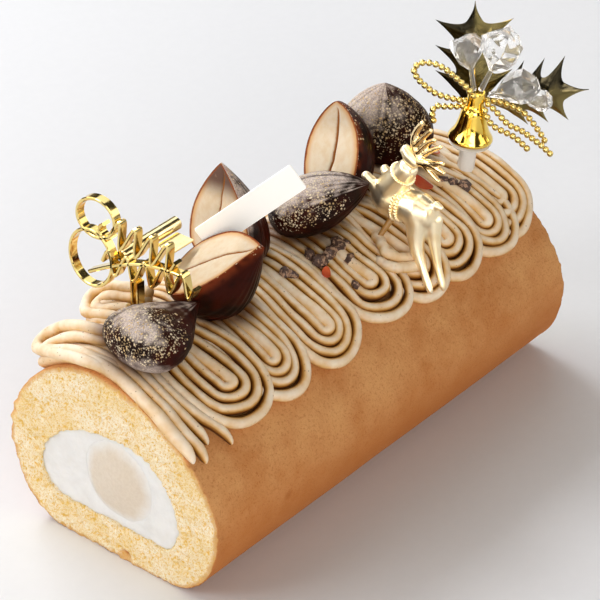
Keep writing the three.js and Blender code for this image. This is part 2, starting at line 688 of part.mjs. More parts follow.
addPiece('sponge_roll', spongeRoll(), 'sponge');
addPiece('whipped_cream', whippedCream(), 'whippedCream');
addPiece('chestnut_cream_core', chestnutCreamCore(), 'chestnutCream');
addPiece('piped_strands', pipedStrands(seats), 'chestnutCream');
chestnutPlaces.forEach((place) => {
  addPiece(place.name, laidChestnut(place), place.cutAt === undefined ? 'candiedChestnut' : 'cutChestnut');
});
addPiece('plaque', plaque(), 'card');
addPiece('scroll_ornament', scrollOrnament(), 'gilt');
addPiece('gilt_tube', giltTube(), 'gilt');
addPiece('gilt_plate', giltPlate(), 'gilt');
addPiece('reindeer', reindeer(), 'champagneGilt');
addPiece('reindeer_pick', reindeerPick(), 'amber');
addPiece('bell_post', bellPost(), 'milkPlastic', spray);
addPiece('bell', bell(), 'gilt', spray);
Object.entries(beadRoutes).forEach(([name, route]) => addPiece(name, beadString(route), 'gilt', spray));
Object.entries(leaves).forEach(([name, leaf]) => addPiece(name, hollyLeaf(leaf), 'darkGilt', spray));
Object.entries(crystals).forEach(([name, { foot, head, radius }]) => {
  addPiece(name, crystal(foot, head, radius), 'clearPlastic', spray);
});

export default group;
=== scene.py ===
"""Swiss roll with piped chestnut strands, candied chestnuts and gilt picks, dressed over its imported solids.

Shapes are worked out in millimetres in the part's frame: +X along the roll away from its shown cut end,
+Y towards its hidden long side, +Z up, origin at the centre of the flat base. Meshes are written in metres.
"""
import math

import bpy
import numpy as np
from mathutils import Matrix


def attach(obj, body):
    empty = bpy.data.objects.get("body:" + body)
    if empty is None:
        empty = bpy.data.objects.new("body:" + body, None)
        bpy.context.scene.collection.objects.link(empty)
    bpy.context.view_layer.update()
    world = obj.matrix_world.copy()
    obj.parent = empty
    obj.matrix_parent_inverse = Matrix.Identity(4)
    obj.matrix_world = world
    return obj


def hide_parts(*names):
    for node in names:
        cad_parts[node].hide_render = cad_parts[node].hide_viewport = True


bl_info = {
    "name": "Swiss Roll Dresser",
    "version": (1, 0, 0),
    "blender": (4, 5, 0),
    "location": "View3D > Sidebar > Swiss Roll",
    "description": "Builds the visible pieces of a decorated swiss roll over its packed solids",
    "category": "Object",
}

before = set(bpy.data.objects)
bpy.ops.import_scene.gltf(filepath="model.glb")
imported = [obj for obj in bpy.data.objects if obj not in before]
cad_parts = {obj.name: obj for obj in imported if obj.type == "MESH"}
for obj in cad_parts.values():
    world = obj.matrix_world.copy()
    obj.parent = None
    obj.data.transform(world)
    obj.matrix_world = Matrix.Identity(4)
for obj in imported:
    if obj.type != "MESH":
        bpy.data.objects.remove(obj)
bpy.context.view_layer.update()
MM = 0.001

# Roll
ROLL_HALF = 82.8
ROLL_HEIGHT = 61.0
BASE_HALF = 20.0
SECTION_CENTRE = np.array([1.0, 27.0])
CORE_CENTRE = np.array([-2.2, 27.4])
CORE_RADIUS = 13.2
# Where the rolled-up end of the sheet cracks open on a cut face, as (y, z), and half the crack's size
SEAM_CRACK = np.array([-3.5, 2.2])
CRACK_HALF = np.array([2.3, 1.3])
# How far torn crumbs stand out round the front face, and over what length the skin follows them
TORN_REACH = 1.3
TORN_LENGTH = 2.5

# Ribbon of strands
STRANDS = 4
STRAND_PITCH = 3.3
RIBBON_TOP = 3.3
TURN_RADIUS = 6.3
LOOP_LIFT = 1.7
LOOP_STATIONS = np.array([-57, -40, -16, 9, 26, 43, 61, 72.5])
SHOWN_TURN_ARC = np.array([28.4, 27.2, 28, 27.6, 28.6, 28, 27.6, 26.5])
HIDDEN_TURN_ARC = -19.5
FRONT_LEG_STATION = -76.4
FRONT_LEG_END_ARC = 43.5
# At the loose front end: by how many steps each strand starts late, and how far it fans out along the roll
LOOSE_STEPS = [1, 0, 3, 0]
LOOSE_FAN = [0, 0.5, 1.5, 5.0]
# How deep the strands' feet reach into the skin
STRAND_ROOT = 0.3
# Strands piled over the ribbon at its hidden edge and across it beside the reindeer: station, arc and height
# of points along each
PILED_STRANDS = [
    [[-73.5, 3, 9], [-74.6, -9.6, 9], [-74, -17, 8.6], [-74.6, -22, 8], [-76.6, -24, 6.9],
     [-79.2, -22.6, 5.6], [-82.4, -15.5, 4.8], [-83, -10, 3.9], [-82.3, -4.4, 3.3], [-80.6, 3, 2.6],
     [-78.6, 12, 1.2]],
    [[-73, 2, 6.4], [-76.4, -10.8, 6.3], [-77.6, -16, 5.9], [-77.8, -20, 5.3], [-79.8, -19.4, 4.9],
     [-80.6, -14, 4.4], [-80.3, -7.8, 4], [-79.5, -1.6, 3.4], [-77, 10, 1.8]],
    [[-51.2, -5, 9.2], [-51.2, -11.6, 9.8], [-50, -18, 10.4], [-51, -22.4, 10.8], [-53.6, -24, 10.2],
     [-57, -23, 8.4], [-61.6, -18, 7.4], [-62.6, -12, 6.6], [-62, -5, 5.6]],
    [[-53, -5, 7], [-52.6, -10.6, 7.6], [-51.8, -16.8, 8.2], [-52.4, -20.6, 8.2], [-54.8, -21.2, 7.7],
     [-57.6, -18.6, 7], [-58.6, -13, 6.6], [-57, -8, 6.4]],
    [[-49, -7, 6], [-51.5, -17, 6.4], [-55, -21.4, 6.4], [-61.6, -18, 5.4], [-63.5, -9, 4.8]],
    [[25, 15, 2.6], [20.6, 19.8, 5.4], [18.8, 23.1, 6.2], [21.4, 25.7, 6.2], [27.4, 28, 5.4]],
    [[16.6, 22, 3], [16.6, 26, 5.6], [19.8, 28.5, 6.2], [25.6, 30.3, 5.2]],
]
# How far below its middle the foot of a piled strand lies
PILED_DROP = 1.9
# How much of the painted groove shade the bare side of a strand takes
BARE_SHADE = 0.2
# How much of the painted groove shade the front end takes, where more light reaches in, and the stations
# between which it grows to the whole
FRONT_SHADE = 0.5
FRONT_SHADE_STATIONS = (-84, -58)

# Spray of bell, beads, leaves and crystals: a frame of its own, upright at the post
SPRAY_FOOT = np.array([71, -8, 60.2])
SPRAY_TURN = -0.878
SPRAY_LEAN = 0.1

# Standing gilt scroll
SCROLL_FRONT = -57.5
BAND_DEPTH = 3.0
BAND_THICKNESS = 1.1
# The two walls of its stem across the roll, and the stem's foot and top
STEM_WALLS = (11.75, 13.85)
STEM_HEIGHTS = (61.4, 76.4)
# Gilt tube, from its near end along the roll, and the gilt plate beside it
TUBE_START = (-54.2, 20.4, 80.2)
TUBE_LENGTH = 24.0
TUBE_RADIUS = 2.1
PLATE_MIDDLE = (-37.5, 14.7, 79)
PLATE_SIZE = (9, 6.6, 0.5)

# Card: the two ends of its upper edge, its height and its thickness
CARD_LEFT = np.array([-30.1, 14.0, 80.3])
CARD_RIGHT = np.array([-7.6, -3.3, 98.3])
CARD_HEIGHT = 8.6
CARD_THICKNESS = 0.8

# Photo camera: a long lens on a 36 mm sensor, looking down the roll from the front left
CAMERA_PLACE = np.array([-574.09, -477.10, 541.13])
CAMERA_YAW = math.radians(39.687)
CAMERA_PITCH = math.radians(33.535)
CAMERA_LENS = 180.0

# Studio surround: its colour, how much it lights the roll, and how bright its cards and the gaps between
# them show in metal
SURROUND_COLOUR = (1.0, 0.93, 0.85, 1)
SURROUND_LIGHT = 0.22
SURROUND_SHINE = 2.4
SURROUND_GAP = 0.05
# Studio lights and floor, in metres
LIGHTS = {
    "key": dict(place=(0.1, 1.15, 1.08), size=(1.2, 0.36), power=19.0, colour=(0.97, 1.0, 1.04)),
    "top_fill": dict(place=(0.75, 0.65, 1.1), size=(0.9, 0.9), power=3.5, colour=(0.97, 1.0, 1.04)),
    "front_fill": dict(place=(-0.85, 0.55, 0.6), size=(0.6, 0.6), power=4.7, colour=(1.0, 1.0, 1.0)),
    "side_fill": dict(place=(-0.85, -1.05, 0.5), size=(0.7, 0.7), power=9.0, colour=(1.0, 0.95, 0.90)),
}
FLOOR_HALF = 3.0


def unit(vectors):
    """Vectors scaled to length one along the last axis."""
    vectors = np.asarray(vectors, float)
    return vectors / np.maximum(np.linalg.norm(vectors, axis=-1, keepdims=True), 1e-12)


def blend(low, high, share):
    """Straight mix of two values."""
    return low + (high - low) * share


def smooth_step(values, low, high):
    """0 below low, 1 above high, an S curve between."""
    share = np.clip((values - low) / (high - low), 0, 1)
    return share * share * (3 - 2 * share)


def hashed(cell, seed):
    """A repeatable number from 0 to 1 for each whole-number cell."""
    mixed = cell[..., 0] * 374761393 + cell[..., 1] * 668265263 + cell[..., 2] * 1442695041 + seed * 974711
    mixed = (mixed ^ (mixed >> 13)) * 1274126177
    mixed = mixed ^ (mixed >> 16)
    return (mixed & 0xFFFF) / 0xFFFF


def soft_noise(points, size, seed):
    """Value noise from -1 to 1: hashed numbers at the corners of a lattice, mixed by S curves between."""
    place = points / size
    cell = np.floor(place).astype(np.int64)
    share = place - cell
    share = share * share * (3 - 2 * share)
    total = np.zeros(points.shape[:-1])
    for corner in np.ndindex(2, 2, 2):
        step = np.array(corner)
        weight = np.where(step == 1, share, 1 - share).prod(axis=-1)
        total += weight * hashed(cell + step, seed)
    return 2 * total - 1


def layered(points, *layers):
    """Sum of noises, each given as its height, feature size and seed."""
    return sum(height * soft_noise(points, size, seed) for height, size, seed in layers)


def pore_distance(points, size, seed):
    """Distance to the nearest of the spots scattered one in each lattice cell, counted in cells."""
    place = points / size
    cell = np.floor(place).astype(np.int64)
    nearest = np.full(points.shape[:-1], 9.0)
    for corner in np.ndindex(3, 3, 3):
        other = cell + np.array(corner) - 1
        spot = other + np.stack([hashed(other, seed + axis) for axis in range(3)], axis=-1)
        nearest = np.minimum(nearest, np.linalg.norm(place - spot, axis=-1))
    return nearest


def bezier(corners, count):
    """Cubic curve of four control points, as count points."""
    t = np.linspace(0, 1, count)[:, None]
    a, b, c, d = np.asarray(corners, float)
    return a * (1 - t) ** 3 + 3 * b * t * (1 - t) ** 2 + 3 * c * t * t * (1 - t) + d * t ** 3


def smooth_path(corners, count):
    """Catmull-Rom curve through the given corners, resampled to count evenly spaced points."""
    p = np.asarray(corners, float)
    p = np.concatenate([2 * p[:1] - p[1:2], p, 2 * p[-1:] - p[-2:-1]])
    t = np.linspace(0, 1, 24, endpoint=False)[None, :, None]
    before, start, end, after = (p[k:len(p) - 3 + k, None, :] for k in range(4))
    curve = 0.5 * (2 * start + (end - before) * t + (2 * before - 5 * start + 4 * end - after) * t ** 2
                   + (3 * start - before - 3 * end + after) * t ** 3)
    curve = np.concatenate([curve.reshape(-1, p.shape[1]), p[-2:-1]])
    return evenly(curve, count)


def evenly(path, count):
    """A polyline resampled to count points at even distances."""
    length = np.concatenate([[0], np.cumsum(np.linalg.norm(np.diff(path, axis=0), axis=1))])
    wanted = np.linspace(0, length[-1], count)
    return np.stack([np.interp(wanted, length, path[:, k]) for k in range(path.shape[1])], axis=-1)


def path_length(path):
    """Length of a polyline."""
    return np.linalg.norm(np.diff(path, axis=0), axis=1).sum()


# The skin from the hidden lower edge over the crown to the shown lower edge, as (y, z)
SKIN_CURVES = [bezier(corners, 200) for corners in (
    [(BASE_HALF, 0), (33, 0.5), (40, 13), (40, 28)],
    [(40, 28), (38.5, 44), (24, ROLL_HEIGHT), (6, ROLL_HEIGHT)],
    [(6, ROLL_HEIGHT), (-13, ROLL_HEIGHT), (-35, 48), (-39.5, 28)],
    [(-39.5, 28), (-40, 13), (-33, 0.5), (-BASE_HALF, 0)],
)]
CROWN_ARC = path_length(SKIN_CURVES[0]) + path_length(SKIN_CURVES[1])
SKIN = np.concatenate(SKIN_CURVES)
SKIN_ARC = np.concatenate([[0], np.cumsum(np.linalg.norm(np.diff(SKIN, axis=0), axis=1))])
FILLING = np.concatenate([bezier(corners, 60) for corners in (
    [(-18, 12), (-6, 12), (8, 12), (20, 12)],
    [(20, 12), (26, 12.5), (28.5, 18), (27.9, 23)],
    [(27.9, 23), (26.5, 33), (14, 41.5), (-3, 42)],
    [(-3, 42), (-17, 42), (-25.5, 32), (-24.8, 20)],
    [(-24.8, 20), (-24.5, 15.5), (-22.5, 12), (-18, 12)],
)])
# Bearings round the section's centre at which the sponge and the cream have points
BEARINGS = np.linspace(-np.pi, np.pi, 640, endpoint=False)[None, :]


def skin_at(arc):
    """The skin's point and its direction at a distance from the crown, positive towards the shown side."""
    place = np.asarray(CROWN_ARC + arc, float)
    step = 0.5

    def shifted(shift):
        return np.stack([np.interp(place + shift, SKIN_ARC, SKIN[:, k]) for k in (0, 1)], axis=-1)

    return shifted(0), unit(shifted(step) - shifted(-step))


def over_skin(station, arc, height):
    """Points at a height straight out from the skin, and the outward direction there."""
    point, along = skin_at(arc)
    out = np.stack([np.zeros_like(along[..., 0]), along[..., 1], -along[..., 0]], axis=-1)
    foot = np.stack([np.broadcast_to(station, point.shape[:-1]), point[..., 0], point[..., 1]], axis=-1)
    return foot + out * np.asarray(height)[..., None], out


def grid_faces(rows, columns, wrap_rows=False, wrap_columns=False):
    """Four-sided faces between neighbouring points of a grid, joined round where it wraps."""
    row, column = np.meshgrid(
        np.arange(rows if wrap_rows else rows - 1),
        np.arange(columns if wrap_columns else columns - 1), indexing="ij")
    next_row = (row + 1) % rows
    next_column = (column + 1) % columns
    corners = [row * columns + column, row * columns + next_column,
               next_row * columns + next_column, next_row * columns + column]
    return np.stack(corners, axis=-1).reshape(-1, 4)


def signed_volume(points, faces):
    """Volume inside closed faces, negative where they point inwards."""
    total = 0.0
    for k in range(1, faces.shape[1] - 1):
        a, b, c = points[faces[:, 0]], points[faces[:, k]], points[faces[:, k + 1]]
        total += np.einsum("ij,ij->i", a, np.cross(b, c)).sum() / 6
    return total


class Shape:
    """Points, faces and point values of one piece, gathered from closed surfaces."""

    def __init__(self):
        self.points = []
        self.faces = []
        self.values = []
        self.count = 0

    def add(self, points, face_sets, **values):
        """Adds one closed surface, its faces turned outwards."""
        flat = points.reshape(-1, 3)
        volume = sum(signed_volume(flat, faces) for faces in face_sets)
        for faces in face_sets:
            facing = faces if volume > 0 else faces[:, ::-1]
            self.faces.extend((facing + self.count).tolist())
        self.points.append(flat)
        self.values.append({name: np.broadcast_to(value, points.shape[:-1]).reshape(-1)
                            for name, value in values.items()})
        self.count += len(flat)

    def add_ring(self, points, **values):
        """Adds a grid that wraps both ways, such as a wall round a hole."""
        rows, columns = points.shape[:2]
        self.add(points, [grid_faces(rows, columns, True, True)], **values)

    def add_tube(self, points, **values):
        """Adds a grid that wraps across its rows, closed at both ends by a fan to the end's middle."""
        rows, columns = points.shape[:2]
        middles = points[[0, -1]].mean(axis=1)
        flat = np.concatenate([points.reshape(-1, 3), middles])
        column = np.arange(columns)
        after = (column + 1) % columns
        first = np.stack([np.full(columns, rows * columns), after, column], axis=-1)
        last_row = (rows - 1) * columns
        last = np.stack([np.full(columns, rows * columns + 1), last_row + column, last_row + after], axis=-1)
        whole = {}
        for name, value in values.items():
            grid = np.broadcast_to(value, (rows, columns))
            whole[name] = np.concatenate([grid.reshape(-1), grid[[0, -1]].mean(axis=1)])
        self.add(flat, [grid_faces(rows, columns, False, True), first, last], **whole)

    def mesh(self, name):
        """The points and faces as a mesh, in metres."""
        mesh = bpy.data.meshes.new(name)
        mesh.from_pydata((np.concatenate(self.points) * MM).tolist(), [], self.faces)
        return mesh

    def build(self, name, finish, node, slot, smooth=True, crease=None):
        """Makes the piece of this shape with its values; edges sharper than crease degrees stay sharp."""
        mesh = self.mesh(name)
        mesh.polygons.foreach_set("use_smooth", np.full(len(mesh.polygons), smooth))
        if crease is not None:
            mesh.set_sharp_from_angle(angle=math.radians(crease))
        for key in self.values[0]:
            column = np.concatenate([values[key] for values in self.values])
            attribute = mesh.attributes.new(key, "FLOAT", "POINT")
            attribute.data.foreach_set("value", column.astype(np.float32))
        settle(mesh, name, finish, node)

    def dress(self, node, finish, slot, **edges):
        """Makes the main piece of a node, named after it."""
        self.build(f"{node}_dressed", finish, node, slot, **edges)

    def cast(self, name, finish, node, slot, grain, rounds):
        """Makes the piece with its overlapping limbs melted into one skin: a voxel remesh, smoothed."""
        rough = bpy.data.objects.new(f"{name}_rough", self.mesh(f"{name}_rough"))
        bpy.context.scene.collection.objects.link(rough)
        remesh = rough.modifiers.new("Remesh", "REMESH")
        remesh.mode = "VOXEL"
        remesh.voxel_size = grain
        smooth = rough.modifiers.new("Smooth", "SMOOTH")
        smooth.factor = 0.5
        smooth.iterations = rounds
        graph = bpy.context.evaluated_depsgraph_get()
        skin = bpy.data.meshes.new_from_object(rough.evaluated_get(graph))
        bpy.data.objects.remove(rough)
        skin.name = name
        skin.polygons.foreach_set("use_smooth", np.full(len(skin.polygons), True))
        skin.materials.clear()
        settle(skin, name, finish, node)


def settle(mesh, name, finish, node):
    """Makes the object of a finished mesh: it rides on the roll, and the imported part of its node is hidden.
    """
    mesh.materials.append(finish)
    piece = bpy.data.objects.new(name, mesh)
    bpy.context.scene.collection.objects.link(piece)
    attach(piece, "root")
    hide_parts(node)


def swept(path, radius, sides, up):
    """Rings of points round a path: each ring turns from up through the side that is square to the path."""
    path = np.asarray(path, float)
    along = unit(np.gradient(path, axis=0))
    side = unit(np.cross(along, np.broadcast_to(up, path.shape)))
    lift = np.cross(side, along)
    angle = np.linspace(0, 2 * np.pi, sides, endpoint=False)[None, :, None]
    ring = np.cos(angle) * lift[:, None, :] + np.sin(angle) * side[:, None, :]
    reach = np.broadcast_to(np.asarray(radius, float), (len(path),))
    return path[:, None, :] + reach[:, None, None] * ring


def turned(profile, sides):
    """Surface of revolution: a profile of (radius, height) turned about +Z."""
    radius, height = np.asarray(profile, float).T
    angle = np.linspace(0, 2 * np.pi, sides, endpoint=False)
    return np.stack([radius[:, None] * np.cos(angle), radius[:, None] * np.sin(angle),
                     np.broadcast_to(height[:, None], (len(height), sides))], axis=-1)


def laid(points, origin, x_axis, y_axis, z_axis):
    """Points of a local frame moved to an origin and three axes."""
    return (np.asarray(origin, float) + points[..., :1] * np.asarray(x_axis)
            + points[..., 1:2] * np.asarray(y_axis) + points[..., 2:] * np.asarray(z_axis))


def in_spray(points):
    """Points of the spray's frame (across, depth, up) moved to the roll's frame."""
    cos, sin = math.cos(SPRAY_TURN), math.sin(SPRAY_TURN)
    return laid(np.asarray(points, float), SPRAY_FOOT, (cos, sin, 0), (-sin, cos, 0), (0, 0, 1))


def leaning(points):
    """Points of the upright spray leaned a little across."""
    cos, sin = math.cos(SPRAY_LEAN), math.sin(SPRAY_LEAN)
    return laid(points, (0, 0, 0), (cos, 0, -sin), (0, 1, 0), (sin, 0, cos))


def polar_radius(outline, bearing):
    """Distance from the section's centre to an outline, at each bearing."""
    offset = outline - SECTION_CENTRE
    return np.interp(bearing, np.arctan2(offset[:, 1], offset[:, 0]), np.linalg.norm(offset, axis=1),
                     period=2 * np.pi)


def section_point(radius, bearing, station):
    """A point of the roll's section given by its distance and bearing from the centre."""
    y = SECTION_CENTRE[0] + radius * np.cos(bearing)
    z = SECTION_CENTRE[1] + radius * np.sin(bearing)
    return np.stack(np.broadcast_arrays(station, y, z), axis=-1)


def crumb_face(share, inner, outer, end, seed):
    """A cut end of the sponge: rings from the filling to the skin, pitted by pores and rounded at the rim."""
    depth = (1 - share) * (outer - inner)
    face = section_point(blend(inner, outer, share), BEARINGS, end * ROLL_HALF)
    crack = np.exp(-(((face[..., 1:] - SEAM_CRACK) / CRACK_HALF) ** 2).sum(axis=-1))
    depth = depth * (1 - crack)
    pore = 1 - np.minimum(pore_distance(face, 2.6, seed) / 0.5, 1)
    fine = 1 - np.minimum(pore_distance(face, 0.95, seed + 9) / 0.55, 1)
    pitted = layered(face, (0.25, 11, seed), (0.4, 2.4, seed + 1))
    pitted += 0.75 * pore + 0.35 * fine + 0.5 * np.exp(-depth / 0.7) + 1.5 * crack
    proud = 0.2
    face[..., 0] -= end * (pitted - proud)
    return face, depth, np.maximum(pore, 0.8 * fine)


def filling_edge(bearing):
    """Where the sponge meets the cream: the filling's outline, ragged by crumbs."""
    smooth = polar_radius(FILLING, bearing)
    return smooth + layered(section_point(smooth, bearing, 0.0), (0.45, 2.3, 33), (0.25, 0.9, 34))


def sponge_shape():
    """Wall round the filling: front face, skin, back face and hole, rows of one grid that wraps both ways."""
    base = np.stack([np.linspace(-BASE_HALF, BASE_HALF, 60), np.zeros(60)], axis=-1)
    outer = polar_radius(np.concatenate([SKIN, base]), BEARINGS)
    inner = filling_edge(BEARINGS)
    crumbs = np.maximum(0, soft_noise(section_point(outer, BEARINGS, -ROLL_HALF), 2.6, 31))
    torn = TORN_REACH * (0.25 + np.exp(-((BEARINGS + 0.35) / 0.75) ** 2)) * crumbs
    front, front_depth, front_pore = crumb_face(np.linspace(0, 1, 46)[:, None], inner, outer + torn, -1, 3)
    back, back_depth, back_pore = crumb_face(np.linspace(1, 0, 26)[:, None], inner, outer, 1, 17)
    station = np.linspace(-ROLL_HALF + 0.9, ROLL_HALF - 0.9, 48)[:, None]
    wall = outer + torn * np.exp(-(station + ROLL_HALF) / TORN_LENGTH)
    skin = section_point(wall, BEARINGS, station)
    dents = layered(skin, (0.22, 21, 5), (0.07, 4, 6)) * smooth_step(skin[..., 2], 1, 8)
    skin = section_point(wall + dents, BEARINGS, station)
    bare = np.zeros(skin.shape[:2])
    shape = Shape()
    shape.add_ring(np.concatenate([front, skin, back]), depth=np.concatenate([front_depth, bare, back_depth]),
                   pore=np.concatenate([front_pore, bare, back_pore]))
    return shape


def cream_shape():
    """Whipped cream round the core: wavy faces that meet the sponge and the core, closed along both."""
    outer = filling_edge(BEARINGS) + 0.15
    turn = np.linspace(0, 2 * np.pi, 200)[:, None]
    circle = CORE_CENTRE + (CORE_RADIUS - 3.0) * np.concatenate([np.cos(turn), np.sin(turn)], axis=1)
    inner = polar_radius(circle, BEARINGS)
    width = outer - inner
    rows = []
    for end, share in ((-1, np.linspace(0, 1, 40)[:, None]), (1, np.linspace(1, 0, 40)[:, None])):
        face = section_point(blend(inner, outer, share), BEARINGS, end * (ROLL_HALF - 0.2))
        sunk = 0.45 * np.exp(-(1 - share) * width / 1.2) + 1.6 * np.exp(-share * width / 1.6)
        sunk += layered(face, (0.3, 9, 41), (0.16, 2.6, 42), (0.07, 0.9, 43))
        face[..., 0] -= end * np.maximum(sunk, -0.2)
        rows.append(face)
    shape = Shape()
    shape.add_ring(np.concatenate(rows))
    return shape


def core_shape():
    """Chestnut cream core: a rod with a shallow dome at each end, uneven as cut cream is."""
    angle = np.linspace(0.02, np.pi / 2, 40)
    radius = CORE_RADIUS * np.sin(angle)
    height = ROLL_HALF - 0.8 + 2.6 * np.cos(angle) ** 2
    profile = np.concatenate([np.stack([radius, -height], -1), np.stack([radius, height], -1)[::-1]])
    rod = turned(profile, 120)
    points = laid(rod, (0, *CORE_CENTRE), (0, 1, 0), (0, 0, 1), (1, 0, 0))
    uneven = layered(points, (0.25, 7, 51), (0.06, 1.6, 52))
    points[..., 0] += uneven * (np.abs(points[..., 0]) > ROLL_HALF - 2)
    shape = Shape()
    shape.add_tube(points, share=(profile[:, 0] / CORE_RADIUS)[:, None])
    return shape


def ribbon_leg(shown, hidden, shown_arc, shown_lift, order):
    """A leg over the crown from the shown side to the hidden one, easing between its two stations."""
    t = np.linspace(0, 1, 54)
    ease = t * t * (3 - 2 * t)
    ones = np.ones_like(t)
    return np.stack([blend(shown, hidden, ease), blend(shown_arc, HIDDEN_TURN_ARC, t), order * ones, 0 * ones,
                     blend(shown_lift, LOOP_LIFT - shown_lift, ease)], axis=-1)


def ribbon_turn(station, arc, side, order):
    """Half a circle on one side of the roll, climbing onto the loop behind it."""
    angle = np.pi * (np.linspace(0, 1, 32) - 0.5)
    return np.stack([station + TURN_RADIUS * np.sin(angle), arc + side * TURN_RADIUS * np.cos(angle),
                     order * np.sin(angle), order * side * np.cos(angle),
                     LOOP_LIFT * (0.5 + 0.5 * np.sin(angle))], axis=-1)


def ribbon_route():
    """The ribbon's middle from its loose front end to the back: station, arc, the way across and lift."""
    front_turn = (FRONT_LEG_STATION + LOOP_STATIONS[0]) / 2 - TURN_RADIUS / 2
    hidden = np.concatenate([[front_turn], (LOOP_STATIONS[1:] + LOOP_STATIONS[:-1]) / 2])
    order = 1.0
    pieces = [ribbon_leg(FRONT_LEG_STATION, hidden[0] - TURN_RADIUS, FRONT_LEG_END_ARC, 0.0, order)]
    for i, (station, arc) in enumerate(zip(LOOP_STATIONS, SHOWN_TURN_ARC)):
        order = -order
        pieces.append(ribbon_turn(hidden[i], HIDDEN_TURN_ARC, -1, order))
        pieces.append(ribbon_leg(station - TURN_RADIUS, hidden[i] + TURN_RADIUS, arc, 0.0, order)[::-1])
        order = -order
        pieces.append(ribbon_turn(station, arc, 1, order))
        last = i == len(LOOP_STATIONS) - 1
        behind = station + TURN_RADIUS - 1 if last else hidden[i + 1] - TURN_RADIUS
        pieces.append(ribbon_leg(station + TURN_RADIUS, behind, arc, LOOP_LIFT, order))
    return np.concatenate(pieces)


def softened(values, reach):
    """Running mean along the first axis, with the ends held."""
    kernel = np.ones(2 * reach + 1) / (2 * reach + 1)
    padded = np.concatenate([np.repeat(values[:1], reach, 0), values, np.repeat(values[-1:], reach, 0)])
    return np.stack([np.convolve(padded[:, k], kernel, "valid") for k in range(values.shape[1])], axis=-1)


def add_strand(shape, station, arc, height, thick, foot, shades):
    """Adds a strand laid over the skin: sections round on top, drawn down to the foot like an egg.

    Its painted groove shade runs from 0 on top to 1 below, times the shade of its left or right side; a
    second value paints the shade that the chestnuts cast round them.
    """
    path, out = over_skin(station, arc, height)
    along = unit(np.gradient(path, axis=0))
    sideways = unit(np.cross(along, out))
    upward = np.cross(sideways, along)
    angle = np.linspace(0, 2 * np.pi, 16, endpoint=False)
    lift, side = np.cos(angle), np.sin(angle)
    drop = np.clip(height - foot, 0.4 * thick, 2.4 * thick)
    rise = np.where(lift > 0, lift * thick[:, None], lift * drop[:, None])
    wide = side * (1 - 0.3 * np.maximum(-lift, 0)) * thick[:, None]
    points = path[:, None] + rise[..., None] * upward[:, None] + wide[..., None] * sideways[:, None]
    deepened = blend(FRONT_SHADE, 1.0, smooth_step(station, *FRONT_SHADE_STATIONS))
    shade = np.where(side > 0, shades[1], shades[0]) * deepened[:, None]
    shape.add_tube(points, groove=(0.5 - 0.5 * lift) * shade, syrup=near_chestnuts(points))


def wander(seat, own, seed):
    """How far a strand strays: a slow sway that neighbours share, and a quicker one of its own."""
    return 1.7 * soft_noise(seat, 21, seed) + 0.6 * soft_noise(own, 10, seed + 1)


def add_ribbon_strand(shape, route, place, radius):
    """Adds one strand of the ribbon: the route's middle moved across it, wandering, pointed at its loose end.

    Towards the shown turns, the strands of the first places draw in unevenly and ride up.
    """
    across = (place - (STRANDS - 1) / 2) * STRAND_PITCH
    line = np.column_stack([route[:, :2] + route[:, 2:4] * across, route[:, 4]])
    line = softened(line[LOOSE_STEPS[place]:], 3)
    step = np.arange(len(line))
    seat = line * [1, 1, 0]
    own = seat + [0, 0, 7.0 * (place + 1)]
    station = line[:, 0] + wander(seat, own, 60) + LOOSE_FAN[place] * smooth_step(step, 16, 0)
    arc = line[:, 1] + wander(seat, own, 70)
    drawn = (1 - place / (STRANDS - 1)) * smooth_step(arc, 8, 30)
    arc -= drawn * (0.6 + 2.0 * soft_noise(own * [1, 0, 1], 15, 75))
    nose = np.sqrt(np.clip((step + 0.3) / 5, 0, 1))
    thick = radius * (1 + 0.12 * soft_noise(own, 6, 80)) * nose
    height = RIBBON_TOP - radius + line[:, 2] + 0.5 * soft_noise(own, 11, 90) + 0.9 * drawn
    shades = (BARE_SHADE if place == 0 else 1, BARE_SHADE if place == STRANDS - 1 else 1)
    add_strand(shape, station, arc, blend(0.6, height, nose), thick, -STRAND_ROOT, shades)


def add_piled_strand(shape, corners, radius, seed):
    """Adds a strand that lies over the ribbon: a smooth path through its corners, swaying a little."""
    count = 90
    lane = np.linspace(0, 9, count)[:, None] + [0, 3, 6]
    sway = soft_noise(np.repeat(lane[..., None], 3, axis=-1), 1, 96 + seed)
    path = smooth_path(corners, count) + 0.25 * sway
    station, arc, height = path.T
    thick = radius * (1 + 0.1 * soft_noise(path, 6, 80))
    add_strand(shape, station, arc, height, thick, height - PILED_DROP, (BARE_SHADE, BARE_SHADE))


def strands_shape(radius):
    """The strands of the ribbon side by side along its route, and the strands piled over them."""
    route = ribbon_route()
    shape = Shape()
    for place in range(STRANDS):
        add_ribbon_strand(shape, route, place, radius)
    for seed, corners in enumerate(PILED_STRANDS):
        add_piled_strand(shape, corners, radius, seed)
    return shape


# Strewn pieces on the strands: station, arc, turn about the upright and size
NIB_SPOTS = np.array([
    [-11.8, 9.8, 0.4, 2.4], [-10.6, 12, 1.7, 2.4], [0.2, 9.4, 0.9, 2.8], [0.2, 13, 2.5, 3.4],
    [5.4, 12.6, 0.2, 3.2], [9.8, 12.4, 1.2, 3.6], [12.8, 12.8, 2.1, 2.0], [8.7, 17.2, 0.5, 3.2],
    [3, 24.4, 1.1, 1.8], [60.2, 13, 2.2, 2.4], [61.4, 15.6, 0.1, 2.6], [63, 18.6, 0.8, 3.2],
    [-69, -10.6, 0.3, 2.6], [-30, -14, 2.6, 2.4], [4, -15, 0.7, 2.6], [50, -17, 0.6, 2.4]])
PETAL_SPOTS = np.array([
    [-1.6, 17, 0.7, 3.8], [53.4, 10.2, 1.5, 6.4], [70, 3, 1.1, 3.4], [-47, -12.5, 0.5, 3.8],
    [-40, -13, 2.3, 3.4]])
# Heights of their middles over the skin
NIB_HEIGHT = 4.1
PETAL_HEIGHT = 3.9


